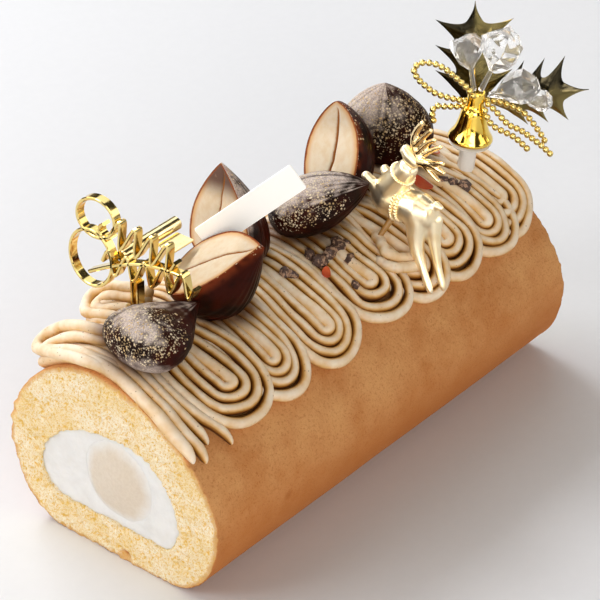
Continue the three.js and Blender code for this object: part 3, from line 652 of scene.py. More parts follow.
def strewn_axes(spots, height):
    """Middle and three axes of each strewn piece, lying on the strands."""
    middle, out = over_skin(spots[:, 0], spots[:, 1], np.full(len(spots), height))
    along = unit(np.cross(out, [0.0, 1.0, 0.3]))
    across = np.cross(out, along)
    cos, sin = np.cos(spots[:, 2:3]), np.sin(spots[:, 2:3])
    return middle, cos * along + sin * across, cos * across - sin * along, out


def nibs_shape():
    """Cocoa nibs: small globes of few sides, pushed in or out, flattened and laid on the strands."""
    angle = np.linspace(0.25, np.pi - 0.25, 5)
    globe = turned(np.stack([np.sin(angle), np.cos(angle)], axis=-1), 7)
    shape = Shape()
    for spot, *axes in zip(NIB_SPOTS, *strewn_axes(NIB_SPOTS, NIB_HEIGHT)):
        lumps = 1 + 0.38 * soft_noise(globe + spot[:3] * 7.1, 0.8, 5)
        shape.add_tube(laid(globe * lumps[..., None] * np.array([0.9, 0.66, 0.66]) * spot[3], *axes))
    return shape


def petals_shape():
    """Dried petals: thin lenses that taper to both ends, bowed along and across."""
    t = np.linspace(-1, 1, 15)[:, None]
    turn = np.linspace(0, 2 * np.pi, 16, endpoint=False)[None, :]
    y = 0.36 * np.sqrt(np.maximum(1 - t ** 2, 0.004)) * np.cos(turn)
    z = 0.035 * np.sin(turn) + 0.22 * t ** 2 + 0.3 * y ** 2
    flake = np.stack(np.broadcast_arrays(0.62 * t, y, z), axis=-1)
    shape = Shape()
    for spot, *axes in zip(PETAL_SPOTS, *strewn_axes(PETAL_SPOTS, PETAL_HEIGHT)):
        shape.add_tube(laid(flake * spot[3], *axes))
    return shape


CHESTNUT_LENGTH = 31.0
CHESTNUT_HALF = 13.0
# How far the painted shade round a chestnut reaches over the strands
CHESTNUT_SHADE_REACH = 5.0
# Each chestnut has its size, its half widths across and deep, where along it is widest, how its tip tapers,
# its middle, the ways that its tip and its flat side point, and how much frost and sugar it carries. A whole
# one has the bearing of its seam, the dust it picked up below and where along it the grains end. A half one
# has the height of its cut, how wide its cleft opens and how dark its tip is.
WHOLE_CHESTNUTS = {
    "chestnut_whole_front": dict(
        size=0.98, across=1.1, deep=0.61, widest=0.28, taper=1.2, middle=(-65.3, -4.8, 72.6),
        tip=(0.99, -0.08, 0.12), facing=(-0.12, 0.07, 0.99), frosting=0.08, graining=0.3,
        seam=0.95, dusting=0.7, bare_from=0.36),
    "chestnut_whole_middle": dict(
        size=1.03, across=1.0, deep=0.64, widest=0.42, taper=0.81, middle=(12.8, 2.4, 74.0),
        tip=(0.6, -0.7, 0.37), facing=(-0.05, 0.44, 0.9), frosting=0.15, graining=0.22,
        seam=1.66, dusting=0.0, bare_from=0.6),
    "chestnut_whole_back": dict(
        size=1.0, across=1.12, deep=0.78, widest=0.39, taper=0.88, middle=(58.0, 12.6, 77.5),
        tip=(-0.19, -0.08, 0.98), facing=(-0.92, -0.34, -0.2), frosting=0.45, graining=0.2,
        seam=4.2, dusting=0.0, bare_from=0.8),
}
HALF_CHESTNUTS = {
    "chestnut_half_front": dict(
        size=1.06, across=1.0, deep=1.22, widest=0.37, taper=1.02, middle=(-38.2, -2.3, 79.9),
        tip=(0.26, -0.82, 0.5), facing=(-0.28, 0.43, 0.86), frosting=-0.3, graining=-0.35,
        cut_at=1.2, opening=0.8, shaded_tip=0.2),
    "chestnut_half_left": dict(
        size=1.02, across=1.13, deep=1.09, widest=0.26, taper=0.92, middle=(-15.6, 16.6, 77.2),
        tip=(0.24, 0.16, 0.96), facing=(-0.95, 0.24, 0.19), frosting=0.6, graining=-0.1,
        cut_at=0.3, opening=0.6, shaded_tip=1.0),
    "chestnut_half_back": dict(
        size=1.0, across=0.93, deep=0.97, widest=0.44, taper=0.71, middle=(34.0, 13.9, 77.1),
        tip=(0.52, 0.31, 0.8), facing=(-0.86, 0.25, 0.46), frosting=0.1, graining=-0.2,
        cut_at=1.2, opening=1.0, shaded_tip=0.3),
}
# The ways that frost and grains face most, and the way of the dust picked up below
SUGAR_FALL = unit([-0.3, 0.2, 0.9])
GRAIN_FALL = unit([-0.4, -0.12, 0.8])
LOW_DUST = unit([-0.5, -0.35, -0.6])


def chestnut_girth(t, widest, taper):
    """Share of the widest half width along a chestnut, from its round base at 0 to its tip at 1."""
    base = np.sqrt(np.maximum(1 - (np.maximum(widest - t, 0) / widest) ** 2.6, 0))
    left = np.clip((1 - t) / (1 - widest), 0, 1)
    return np.where(t < widest, base, np.sin(np.pi / 2 * left ** taper))


def outward(points):
    """Directions square to a grid that wraps across its rows, turned away from its middle."""
    across = np.roll(points, -1, axis=1) - np.roll(points, 1, axis=1)
    normal = unit(np.cross(np.gradient(points, axis=0), across))
    away = np.sum(normal * (points - points.mean(axis=(0, 1))), axis=-1, keepdims=True)
    return normal * np.sign(away)


def sugar_on(points, frosting, graining, dusting, seed):
    """Frost and grains from 0 to 1, thick where the surface faces the way each fell, broken by noise."""
    facing = outward(points)
    patches = layered(points, (0.22, 7, seed), (0.13, 1.6, seed + 1))
    fallen = smooth_step(facing @ SUGAR_FALL + patches + frosting, 0.8, 1.12)
    picked_up = dusting * smooth_step(facing @ LOW_DUST + patches, 0.6, 1.05)
    spread = 0.35 * soft_noise(points, 9, seed + 2)
    grains = smooth_step(facing @ GRAIN_FALL + spread + graining, 0.25, 0.95)
    return np.maximum(fallen, picked_up), grains


def chestnut_axes(tip, facing):
    """The chestnut's way along, across and out of its flat."""
    along = unit(tip)
    side = unit(np.cross(facing, along))
    return along, side, np.cross(along, side)


def near_chestnuts(points):
    """From 0 to 1 near the chestnuts, for the shade they cast on the strands, painted: each taken as an
    ellipsoid, fading out over a set reach round it.
    """
    near = np.zeros(points.shape[:-1])
    for place in (*WHOLE_CHESTNUTS.values(), *HALF_CHESTNUTS.values()):
        half = place["size"] * np.array([
            CHESTNUT_LENGTH / 2, place["across"] * CHESTNUT_HALF, place["deep"] * CHESTNUT_HALF])
        axes = np.stack(chestnut_axes(place["tip"], place["facing"]), axis=-1)
        share = np.linalg.norm((points - place["middle"]) @ axes / half, axis=-1)
        near = np.maximum(near, np.exp(-np.maximum(share - 1, 0) * half.min() / CHESTNUT_SHADE_REACH))
    return near


def whole_chestnut_shape(size, across, deep, widest, taper, middle, tip, facing, frosting, graining,
                         seam, dusting, bare_from, seed):
    """A whole candied chestnut: its girth carried along its axis, ribbed to the tip, with a long seam."""
    t = 0.5 - 0.5 * np.cos(np.linspace(0.03, np.pi - 0.02, 110))[:, None]
    angle = np.linspace(0, 2 * np.pi, 160, endpoint=False)[None, :]
    girth = size * CHESTNUT_HALF * chestnut_girth(t, widest, taper)
    length = size * CHESTNUT_LENGTH * (t - 0.5)
    ring = np.stack(np.broadcast_arrays(length, girth * np.cos(angle), girth * np.sin(angle)), axis=-1)
    streak = np.stack(np.broadcast_arrays(7 * np.cos(angle), 7 * np.sin(angle), 1.2 * t), axis=-1)
    rib = soft_noise(streak, 0.8, seed) * smooth_step(t, 0.25, 0.7)
    cleft = np.exp(-((angle - seam) * girth / 0.55) ** 2) * smooth_step(t, 0.1, 0.3)
    lumps = 0.3 * rib + layered(ring, (0.45, 8, seed + 2), (0.12, 1.5, seed + 3)) - 0.6 * cleft
    swollen = girth + lumps * np.minimum(girth / 4, 1)
    local = np.stack(np.broadcast_arrays(
        length, across * swollen * np.cos(angle), deep * swollen * np.sin(angle)), axis=-1)
    points = laid(local, middle, *chestnut_axes(tip, facing))
    frost, grains = sugar_on(points, frosting, graining, dusting, seed + 5)
    shape = Shape()
    shape.add_tube(points, frost=frost * (1 - 0.85 * cleft) * (1 - 0.85 * np.maximum(-rib, 0)),
                   grains=grains * (1 - cleft) * smooth_step(t, bare_from + 0.28, bare_from))
    return shape


def half_chestnut_shape(size, across, deep, widest, taper, middle, tip, facing, frosting, graining,
                        cut_at, opening, shaded_tip, seed):
    """A halved chestnut: at each step an arc of skin and the chord of the cut, cleft in its middle."""
    t = 0.5 - 0.5 * np.cos(np.linspace(0.04, np.pi - 0.03, 110))[:, None]
    girth = size * CHESTNUT_HALF * chestnut_girth(t, widest, taper)
    start = np.arcsin(np.clip(cut_at / (deep * girth), -1, 1))
    sweep = np.linspace(0, 1, 100)[None, :]
    angle = start - sweep * (np.pi + 2 * start)
    length = size * CHESTNUT_LENGTH * (t - 0.5)
    grain = np.stack(np.broadcast_arrays(length, 8 * np.cos(angle), 8 * np.sin(angle)), axis=-1)
    ribs = 1 + 0.012 * np.cos(31 * angle + 3 * soft_noise(grain, 9, seed)) * np.sin(np.pi * sweep)
    skin = np.stack(np.broadcast_arrays(
        length, across * girth * np.cos(angle) * ribs, deep * girth * np.sin(angle) * ribs), axis=-1)
    chord = np.linspace(-1, 1, 75)[None, 1:-1]
    cut_half = across * girth * np.cos(start)
    rim = (1 - np.abs(chord)) * cut_half
    # Until the face has its height, the seed stands there, so that each chestnut's noise is its own
    face = np.stack(np.broadcast_arrays(length, cut_half * chord, seed + 0 * chord), axis=-1)
    bend = 1.3 * np.sin(5 * t + seed) + 0.4 * soft_noise(face[:, 36:37], 3, seed + 3)
    offset = face[..., 1] - bend
    reach = smooth_step(t, 0.02, 0.2) * smooth_step(t, 0.99, 0.8)
    cleft = np.exp(-(offset / (0.3 + 0.22 * opening * np.sin(np.pi * t))) ** 2) * reach
    sunk = (0.9 * opening * cleft + 0.35 * np.exp(-(offset / 2.4) ** 2) * reach
            + 0.12 * soft_noise(face, 5, seed) + 0.3 * np.exp(-rim / 0.5))
    face[..., 2] = deep * girth * np.sin(start) - sunk * np.minimum(cut_half / 3, 1)
    points = laid(np.concatenate([skin, face], axis=1), middle, *chestnut_axes(tip, facing))
    frost, grains = sugar_on(points, frosting, graining, 0.0, seed + 5)
    bare = np.zeros(skin.shape[:2])
    whole = np.ones(face.shape[:2])
    down_skin = np.pi * girth * np.minimum(sweep, 1 - sweep)
    shape = Shape()
    shape.add_tube(
        points, frost=frost, grains=grains,
        cut=np.concatenate([bare, whole], axis=1), rim=np.concatenate([down_skin, rim], axis=1),
        cleft=np.concatenate([bare, opening * cleft], axis=1),
        tip=np.broadcast_to(shaded_tip * smooth_step(t, 0.6, 0.84), points.shape[:2]))
    return shape


def slab_shape(outline, thickness, bevel, origin, x_axis, y_axis, z_axis):
    """A flat plate of an (x, y) outline: four rings from face to face, the edges eased by a bevel."""
    middle = outline.mean(axis=0)
    inset = outline - bevel * unit(outline - middle)
    rings = [(inset, -thickness / 2), (outline, bevel - thickness / 2),
             (outline, thickness / 2 - bevel), (inset, thickness / 2)]
    local = np.stack([np.column_stack([ring, np.full(len(ring), height)]) for ring, height in rings])
    shape = Shape()
    shape.add_tube(laid(local, origin, x_axis, y_axis, z_axis))
    return shape


def rounded_rectangle(length, height, corner):
    """Outline of a rectangle with rounded corners, about its middle."""
    angle = np.linspace(0, np.pi / 2, 6)
    quarter = np.stack([length / 2 - corner + corner * np.cos(angle),
                        height / 2 - corner + corner * np.sin(angle)], axis=-1)
    return np.concatenate([quarter, (quarter * [-1, 1])[::-1], quarter * [-1, -1], (quarter * [1, -1])[::-1]])


def card_shape():
    """The card: a thin plate below its upper edge, leaning back a little."""
    along = unit(CARD_RIGHT - CARD_LEFT)
    face = unit(np.cross(along, [0, 0.3, 1]))
    up = np.cross(face, along)
    middle = (CARD_LEFT + CARD_RIGHT) / 2 - up * CARD_HEIGHT / 2
    outline = rounded_rectangle(np.linalg.norm(CARD_RIGHT - CARD_LEFT), CARD_HEIGHT, 0.5)
    return slab_shape(outline, CARD_THICKNESS, 0.12, middle, along, up, face)


def band_points(path, closed):
    """A flat strip along a (y, z) path in the scroll's plane: an eased rectangle carried along the path."""
    if closed:
        ahead, behind = np.roll(path, -1, axis=0), np.roll(path, 1, axis=0)
    else:
        ahead, behind = np.concatenate([path[1:], path[-1:]]), np.concatenate([path[:1], path[:-1]])
    along = unit(ahead - behind)
    normal = np.stack([-along[:, 1], along[:, 0]], axis=-1)
    ease = 0.25
    wall = BAND_THICKNESS / 2
    section = np.array([
        [wall, ease], [wall, BAND_DEPTH - ease], [wall - ease, BAND_DEPTH], [ease - wall, BAND_DEPTH],
        [-wall, BAND_DEPTH - ease], [-wall, ease], [ease - wall, 0], [wall - ease, 0]])
    flat = path[:, None, :] + section[None, :, :1] * normal[:, None, :]
    station = np.broadcast_to(SCROLL_FRONT + section[None, :, 1:], (len(path), 8, 1))
    return np.concatenate([station, flat], axis=-1)


def oval_path(y, z, half_width, half_height, tilt):
    """A tilted oval in the scroll's plane."""
    angle = np.linspace(0, 2 * np.pi, 72, endpoint=False)
    a, b = half_width * np.cos(angle), half_height * np.sin(angle)
    cos, sin = math.cos(tilt), math.sin(tilt)
    return np.stack([y + a * cos - b * sin, z + a * sin + b * cos], axis=-1)


def wave_path(start, end, waves, swing, slant):
    """A slanted wave in the scroll's plane from one end to the other."""
    t = np.linspace(0, 1, 22 * waves + 1)
    rise = swing * np.sin(2 * np.pi * waves * t)
    return np.stack([blend(start[0], end[0], t) - slant * rise, blend(start[1], end[1], t) + rise], axis=-1)


def scroll_shape():
    """Standing gilt ornament: two ovals, two waved rows, a swash, a curl and a stem, strips of one depth."""
    shape = Shape()
    shape.add_ring(band_points(oval_path(27, 91.8, 7.4, 6.2, -0.42), True))
    shape.add_ring(band_points(oval_path(29.6, 77.6, 8, 9.6, 0.3), True))
    rows = [
        wave_path((21, 89.4), (-3, 89), 4, 4.4, 0.35),
        wave_path((25, 78.4), (-10, 83), 5, 3.8, 0.15),
        bezier([(30.5, 72.5), (19.5, 79.5), (9.5, 85.5), (-5.5, 85.5)], 40),
        bezier([(21.5, 87.5), (24.5, 85), (28, 88.5), (24, 91)], 24),
        *(np.stack([np.full(12, wall), np.linspace(*STEM_HEIGHTS, 12)], axis=-1) for wall in STEM_WALLS),
    ]
    for path in rows:
        shape.add_tube(band_points(path, False))
    return shape


def tube_shape():
    """Gilt tube along the roll: a turned profile with eased ends, hollowed a little at the far one."""
    ease = 0.4
    profile = [(TUBE_RADIUS - ease, 0), (TUBE_RADIUS, ease), (TUBE_RADIUS, TUBE_LENGTH - ease),
               (TUBE_RADIUS - ease, TUBE_LENGTH), (TUBE_RADIUS - 1.5 * ease, TUBE_LENGTH - 2 * ease)]
    shape = Shape()
    shape.add_tube(laid(turned(profile, 40), TUBE_START, (0, 1, 0), (0, 0, 1), (1, 0, 0)))
    return shape


def plate_shape():
    """Small gilt plate that lies flat."""
    length, width, thickness = PLATE_SIZE
    return slab_shape(rounded_rectangle(length, width, 0.4), thickness, 0.1, PLATE_MIDDLE, *np.eye(3))


# A way that no limb of the reindeer runs along, from which the rings round its limbs start
RING_START = (0.9, 0.2, 0.35)


def limb(corners, radii, count=26, sides=20):
    """A limb of a cast figure: a round tube through its corners, its radius run through the given ones."""
    path = smooth_path(corners, count)
    t = np.linspace(0, 1, count)
    radius = np.interp(t, np.linspace(0, 1, len(radii)), radii)
    cap = 0.09
    from_end = np.minimum(t, 1 - t) / cap
    rounded = np.sqrt(np.clip(1 - (1 - from_end) ** 2, 0.02, 1))
    return swept(path, radius * np.where(from_end < 1, rounded, 1), sides, RING_START)


# Reindeer: corners along each limb and the radii that run along it
DEER_BODY = [
    [28.8, -29, 73.8], [28.6, -24.8, 73.4], [28.2, -15.8, 73.5], [28, -9.6, 74.8], [27.8, -6.8, 75.8]]
DEER_BODY_RADII = [3.3, 5.6, 4.9, 5.9, 3.6]
DEER_NECK = [[28, -12, 76.5], [28.3, -15.5, 82], [28.4, -19.6, 88]]
DEER_NECK_RADII = [5.2, 4.0, 2.9]
DEER_LIMBS = [
    (DEER_BODY, DEER_BODY_RADII),
    (DEER_NECK, DEER_NECK_RADII),
    ([[28.4, -22.6, 88.6], [28.4, -19.6, 90.2], [28.4, -16.2, 93.2]], [1.8, 2.3, 1.5]),
    ([[27.4, -23.5, 73.5], [25.4, -24.4, 64], [24.2, -28, 57], [22.8, -32.6, 50.2]], [4.4, 2.7, 1.35, 1.25]),
    ([[30, -26.5, 73], [29, -28.4, 64.5], [28, -30.6, 57.5], [27, -34, 49.8]], [3.6, 2.1, 1.3, 1.2]),
    ([[26.6, -10.8, 75.2], [25.8, -7.2, 78], [25.2, -4, 81]], [2.8, 2, 1.3]),
    ([[30, -11.4, 77.6], [30.6, -9, 79.8], [31, -6.8, 81.8]], [2.6, 1.9, 1.3]),
    ([[29.4, -27.5, 77], [29.5, -31, 76.2]], [1.6, 0.9]),
]
DEER_ANTLERS = [
    ([[28.8, -21.6, 90], [29.8, -19.4, 96.4], [30, -22.4, 103]], [1.4, 1.2, 0.8]),
    ([[29.4, -20, 94], [29.9, -23.4, 98.6], [30, -25.9, 101.4]], [1.1, 0.9, 0.7]),
    ([[29, -21, 92], [29.8, -24.4, 96.4], [30, -27.4, 98.6]], [1.1, 0.9, 0.7]),
    ([[28.8, -21.6, 90.6], [29.6, -26, 94.6], [30, -29.8, 97.2]], [1.1, 0.9, 0.7]),
    ([[28, -22, 90], [26.8, -28, 91.6], [26, -34, 91.2]], [1.4, 1.1, 0.8]),
    ([[27.2, -26, 91], [26.4, -30.6, 93.4], [26, -33.6, 94.4]], [1, 0.8, 0.7]),
    ([[27.2, -25, 90.6], [26.2, -29.6, 88.8], [25.6, -32.4, 88]], [1, 0.8, 0.7]),
    ([[29.6, -22.4, 89.6], [31, -24.6, 89.8], [31.6, -26, 89.4]], [0.7, 0.8, 0.4]),
]
# Beaded bands: the limb, the share of its length where the band lies and the radius of its beads
DEER_BANDS = [
    (DEER_BODY, DEER_BODY_RADII, 0.52, 0.62),
    (DEER_BODY, DEER_BODY_RADII, 0.58, 0.62),
    (DEER_NECK, DEER_NECK_RADII, 0.62, 0.5),
]
PICK_FOOT = np.array([21, -11.7, 60])
PICK_HEAD = np.array([27.15, -14.3, 68.75])
PICK_RADII = (0.7, 1.1)

# Spray: profiles of (radius, height), then places as (across, depth, up) in its own frame
POST_PROFILE = [(2.0, 0), (2.65, 0.5), (2.65, 10.0), (3.1, 10.4), (6.3, 11.6), (6.6, 12), (6.2, 12.3)]
BELL_PROFILE = [
    (6.2, 0.1), (6.7, 0), (7, 0.35), (7, 0.8), (6.5, 1.7), (5.7, 2.9), (5.15, 4.2), (4.75, 5.6),
    (4.45, 7), (4.2, 8.6), (3.95, 10), (3.6, 11), (3.1, 11.45), (2.8, 11.8), (2.72, 13), (2.7, 16.2),
    (2.5, 16.8), (2, 17)]
BELL_HEIGHT = 13.1
BEAD_RADIUS = 1.05
BEAD_PITCH = 2.05
BEAD_ROUTES = {
    "bead_loop": [
        [2.2, -3.5, 29.2], [-0.7, -3.8, 33.2], [-3.9, -4, 36.6], [-7, -4, 39.4], [-9.7, -4, 41],
        [-12.4, -4, 41.7], [-15.1, -4, 41.4], [-16.6, -4, 39.2], [-15.2, -4, 36], [-12.5, -4, 33.2],
        [-10, -4, 31.2], [-7.2, -4, 30], [-4.4, -3.6, 29], [0, -1.9, 27.2]],
    "bead_tail_left": [
        [-0.7, -1.4, 25.5], [-2.6, -2.6, 25.8], [-6.6, -3.4, 26.2], [-9.6, -3.4, 26.3], [-10.7, -3.4, 24.2],
        [-10.1, -3.4, 20.4]],
    "bead_tail_right": [
        [5.6, -1.4, 26.6], [8.4, -3, 24.6], [12.5, -4.2, 20.4], [16.8, -4.2, 18], [22.8, -4.2, 13],
        [26.4, -4.2, 9.3]],
    "bead_tail_low": [[5, -3, 25.6], [6.5, -4.6, 22], [8.8, -5, 19.6], [14.4, -5, 16.4], [19.2, -5, 11.6]],
    "bead_tail_far": [
        [5.2, 1.8, 25.6], [10.6, 2.2, 24.4], [17.2, 1.4, 21.6], [22, -0.4, 16.2], [24.6, -1.4, 12.1]],
}
CRYSTALS = {
    "crystal_up": dict(foot=(1.9, -0.6, 30.4), head=(-1.2, -3.4, 50), radius=5.2),
    "crystal_large": dict(foot=(4, -0.9, 30.5), head=(12, -3, 51.5), radius=6.4),
    "crystal_side": dict(foot=(6.7, -0.6, 28.6), head=(20.6, -4.2, 34.8), radius=5.8),
    "crystal_low": dict(foot=(6.6, 1.2, 27.8), head=(25.6, -0.2, 25.8), radius=3.6),
}
LEAVES = {
    "holly_leaf_up": dict(base=(2.6, 6, 17.4), tip=(1.8, 6.4, 57), half_width=12.0, spines=(0.28, 0.5, 0.72)),
    "holly_leaf_side": dict(base=(6.4, 4.6, 23.6), tip=(37.6, 6.4, 26.6), half_width=11.6,
                            spines=(0.27, 0.47, 0.67)),
}


def add_beads(shape, centres, radius):
    """Adds a small globe at each centre."""
    angle = np.linspace(0.2, np.pi - 0.2, 8)
    globe = radius * turned(np.stack([np.sin(angle), np.cos(angle)], axis=-1), 12)
    for centre in centres:
        shape.add_tube(globe + centre)


def limbs_shape(limbs):
    """Limbs of a cast figure, still overlapping: one tube for each."""
    shape = Shape()
    for corners, radii in limbs:
        shape.add_tube(limb(corners, radii))
    return shape


def bands_shape():
    """Beaded bands of the reindeer: each a circle of globes square to its limb, just over its radius."""
    count = 60
    shape = Shape()
    for corners, radii, share, bead in DEER_BANDS:
        path = smooth_path(corners, count)
        place = int(share * (count - 1))
        along = unit(path[place + 1] - path[place - 1])
        side = unit(np.cross(along, RING_START))
        lift = np.cross(side, along)
        reach = np.interp(share, np.linspace(0, 1, len(radii)), radii) + 0.1
        beads = round(2 * np.pi * reach / (1.6 * bead))
        angle = np.linspace(0, 2 * np.pi, beads, endpoint=False)[:, None]
        add_beads(shape, path[place] + reach * (np.cos(angle) * lift + np.sin(angle) * side), bead)
    return shape


def pick_shape():
    """Amber stick: a straight round rod that thickens towards the reindeer."""
    count = 20
    path = evenly(np.stack([PICK_FOOT, PICK_HEAD]), count)
    shape = Shape()
    shape.add_tube(swept(path, np.linspace(*PICK_RADII, count), 20, (1, 0, 0)))
    return shape


def upright_shape(profile, height):
    """A turned piece of the spray: its profile raised to a height and leaned with the spray."""
    shape = Shape()
    shape.add_tube(in_spray(leaning(turned(profile, 64) + [0, 0, height])))
    return shape


def bead_shape(route):
    """Beads along a stiff wire: globes at an even pitch on a smooth path, with the wire through them."""
    dense = smooth_path(route, 400)
    count = max(2, round(path_length(dense) / BEAD_PITCH))
    middles = evenly(dense, 2 * count + 1)[1::2]
    shape = Shape()
    add_beads(shape, in_spray(middles), BEAD_RADIUS)
    shape.add_tube(swept(in_spray(evenly(dense, 3 * count)), 0.3, 6, (0.3, 0.2, 0.93)))
    return shape


def leaf_shape(base, tip, half_width, spines):
    """A holly leaf: a thin folded lens across, its edge hollowed between spines at shares of its length."""
    t = np.linspace(0, 1, 241)[:, None]
    gap = np.diff(spines).mean() / 2
    nearest = np.min(np.abs(t[..., None] - np.asarray(spines)), axis=-1)
    spine = np.maximum(0, 1 - nearest / gap) ** 2.4
    last = spines[-1]
    widening = np.minimum(1, 0.1 + 4 * t)
    tapering = np.clip((1 - t) / (1 - last), 0, 1) ** 1.8
    hollow = np.where(t < last, 0.46 * widening, 0.46 * tapering + 0.01)
    half = half_width * (hollow + (1 - hollow) * spine)
    start, end = np.array(base, float), np.array(tip, float)
    along = unit(end - start)
    side = unit(np.cross([0, -1, 0], along))
    turn = np.linspace(0, 2 * np.pi, 48, endpoint=False)[None, :]
    s = np.cos(turn)
    length = np.linalg.norm(end - start) * t + 4 * spine * np.abs(s) ** 2
    rib = np.exp(-(s * half / 0.7) ** 2) * (1 - t)
    veins = 0.12 * np.cos(2 * np.pi * (9 * t - 1.3 * np.abs(s))) * np.abs(s) * (1 - np.abs(s))
    thick = 0.3 * np.sin(turn) * (1 - 0.55 * np.abs(s))
    height = thick - 0.2 * half * np.abs(s) ** 1.2 + 0.4 * rib + veins
    local = np.stack(np.broadcast_arrays(length, half * s, height), axis=-1)
    shape = Shape()
    shape.add_tube(in_spray(laid(local, start, along, side, np.cross(along, side))), rib=rib,
                   fold=np.broadcast_to(s, local.shape[:2]))
    return shape


def crystal_shape(foot, head, radius):
    """A lump of clear crystal on a slim stem: a turned profile of few sides, its corners pushed about."""
    foot, head = np.array(foot, float), np.array(head, float)
    length = np.linalg.norm(head - foot)
    rise = max(0.2, length - 2.3 * radius)
    profile = [
        (0.9, 0), (0.72, rise), (0.66 * radius, length - 1.6 * radius), (radius, length - 0.95 * radius),
        (0.94 * radius, length - 0.5 * radius), (0.45 * radius, length)]
    up = unit(head - foot)
    x_axis = unit(np.cross([0, 1, 0], up))
    lump = turned(profile, 7)
    shift = np.stack([soft_noise(lump[2:] + foot, 2.1, seed) for seed in (7, 8, 9)], axis=-1)
    lump[2:] += 0.2 * radius * shift
    shape = Shape()
    shape.add_tube(in_spray(laid(lump, foot, x_axis, np.cross(up, x_axis), up)))
    return shape


class Value:
    """A socket of a material, so that shader maths is written as an expression."""

    def __init__(self, finish, socket):
        self.finish = finish
        self.socket = socket

    def maths(self, operation, *terms):
        """Adds a Math node on the given terms."""
        return self.finish.node("ShaderNodeMath", {"operation": operation}, dict(enumerate(terms)))

    def __add__(self, other):
        return self.maths("ADD", self, other)

    def __sub__(self, other):
        return self.maths("SUBTRACT", self, other)

    def __rsub__(self, other):
        return self.maths("SUBTRACT", other, self)

    def __mul__(self, other):
        return self.maths("MULTIPLY", self, other)

    __radd__ = __add__
    __rmul__ = __mul__

    def step(self, low, high):
        """0 below low, 1 above high, an S curve between."""
        return self.finish.node(
            "ShaderNodeMapRange", {"interpolation_type": "SMOOTHSTEP"},
            {"Value": self, "From Min": low, "From Max": high})


class Nodes:
    """A node tree, with one way to add any node to it."""

    def __init__(self, tree):
        self.tree = tree

    def node(self, kind, settings, inputs, output=0):
        """Adds a node: its settings first, then the values or links of its sockets; gives one output."""
        node = self.tree.nodes.new(kind)
        for key, value in settings.items():
            setattr(node, key, value)
        for key, value in inputs.items():
            if isinstance(value, Value):
                self.tree.links.new(value.socket, node.inputs[key])
            else:
                node.inputs[key].default_value = value
        return Value(self, node.outputs[output])


class Finish(Nodes):
    """A material being made, with its shader."""

    def __init__(self, name, **constants):
        self.material = bpy.data.materials.new(name)
        self.material.use_nodes = True
        super().__init__(self.material.node_tree)
        self.shader = self.tree.nodes["Principled BSDF"]
        for socket, value in constants.items():
            self.shader.inputs[socket.replace("_", " ")].default_value = value

    def place(self):
        """Object coordinates, in metres."""
        return self.node("ShaderNodeTexCoord", {}, {}, "Object")

    def along(self, axis):
        """One axis of the object coordinates, in millimetres."""
        return self.node("ShaderNodeSeparateXYZ", {}, {0: self.place()}, axis) * (1 / MM)

    def value(self, name):
        """A number stored at the piece's points."""
        return self.node("ShaderNodeAttribute", {"attribute_name": name}, {}, "Fac")

    def noise(self, size, detail, roughness=0.55):
        """Noise of a feature size in millimetres."""
        inputs = {"Vector": self.place(), "Scale": 1 / (size * MM), "Detail": detail, "Roughness": roughness}
        return self.node("ShaderNodeTexNoise", {}, inputs, "Fac")

    def cells(self, size, output="Distance"):
        """Cells of a size in millimetres: the distance from each cell's spot, or its own colour."""
        inputs = {"Vector": self.place(), "Scale": 1 / (size * MM)}
        return self.node("ShaderNodeTexVoronoi", {}, inputs, output)

    def grains(self, size, share):
        """Round grains of a size in millimetres, in as many cells as the share says."""
        lot = self.node("ShaderNodeSeparateColor", {}, {0: self.cells(size, "Color")}, 0)
        return (1 - self.cells(size).step(0.24, 0.42)) * (share - lot).step(0.0, 0.06)

    def mix(self, share, low, high):
        """Mix of two colours."""
        inputs = {0: share, 6: self.colour(low), 7: self.colour(high)}
        return self.node("ShaderNodeMix", {"data_type": "RGBA"}, inputs, 2)

    @staticmethod
    def colour(value):
        """A colour as a link or as four numbers."""
        return value if isinstance(value, Value) else (*value[:3], 1.0)

    def bump(self, height, reach, strength):
        """Bends the shading by a height given from 0 to 1 over a reach in millimetres."""
        inputs = {"Height": height, "Distance": reach * MM, "Strength": strength}
        self.feed(Normal=self.node("ShaderNodeBump", {}, inputs))

    def feed(self, **links):
        """Links values to the shader's sockets."""
        for socket, value in links.items():
            self.tree.links.new(value.socket, self.shader.inputs[socket.replace("_", " ")])


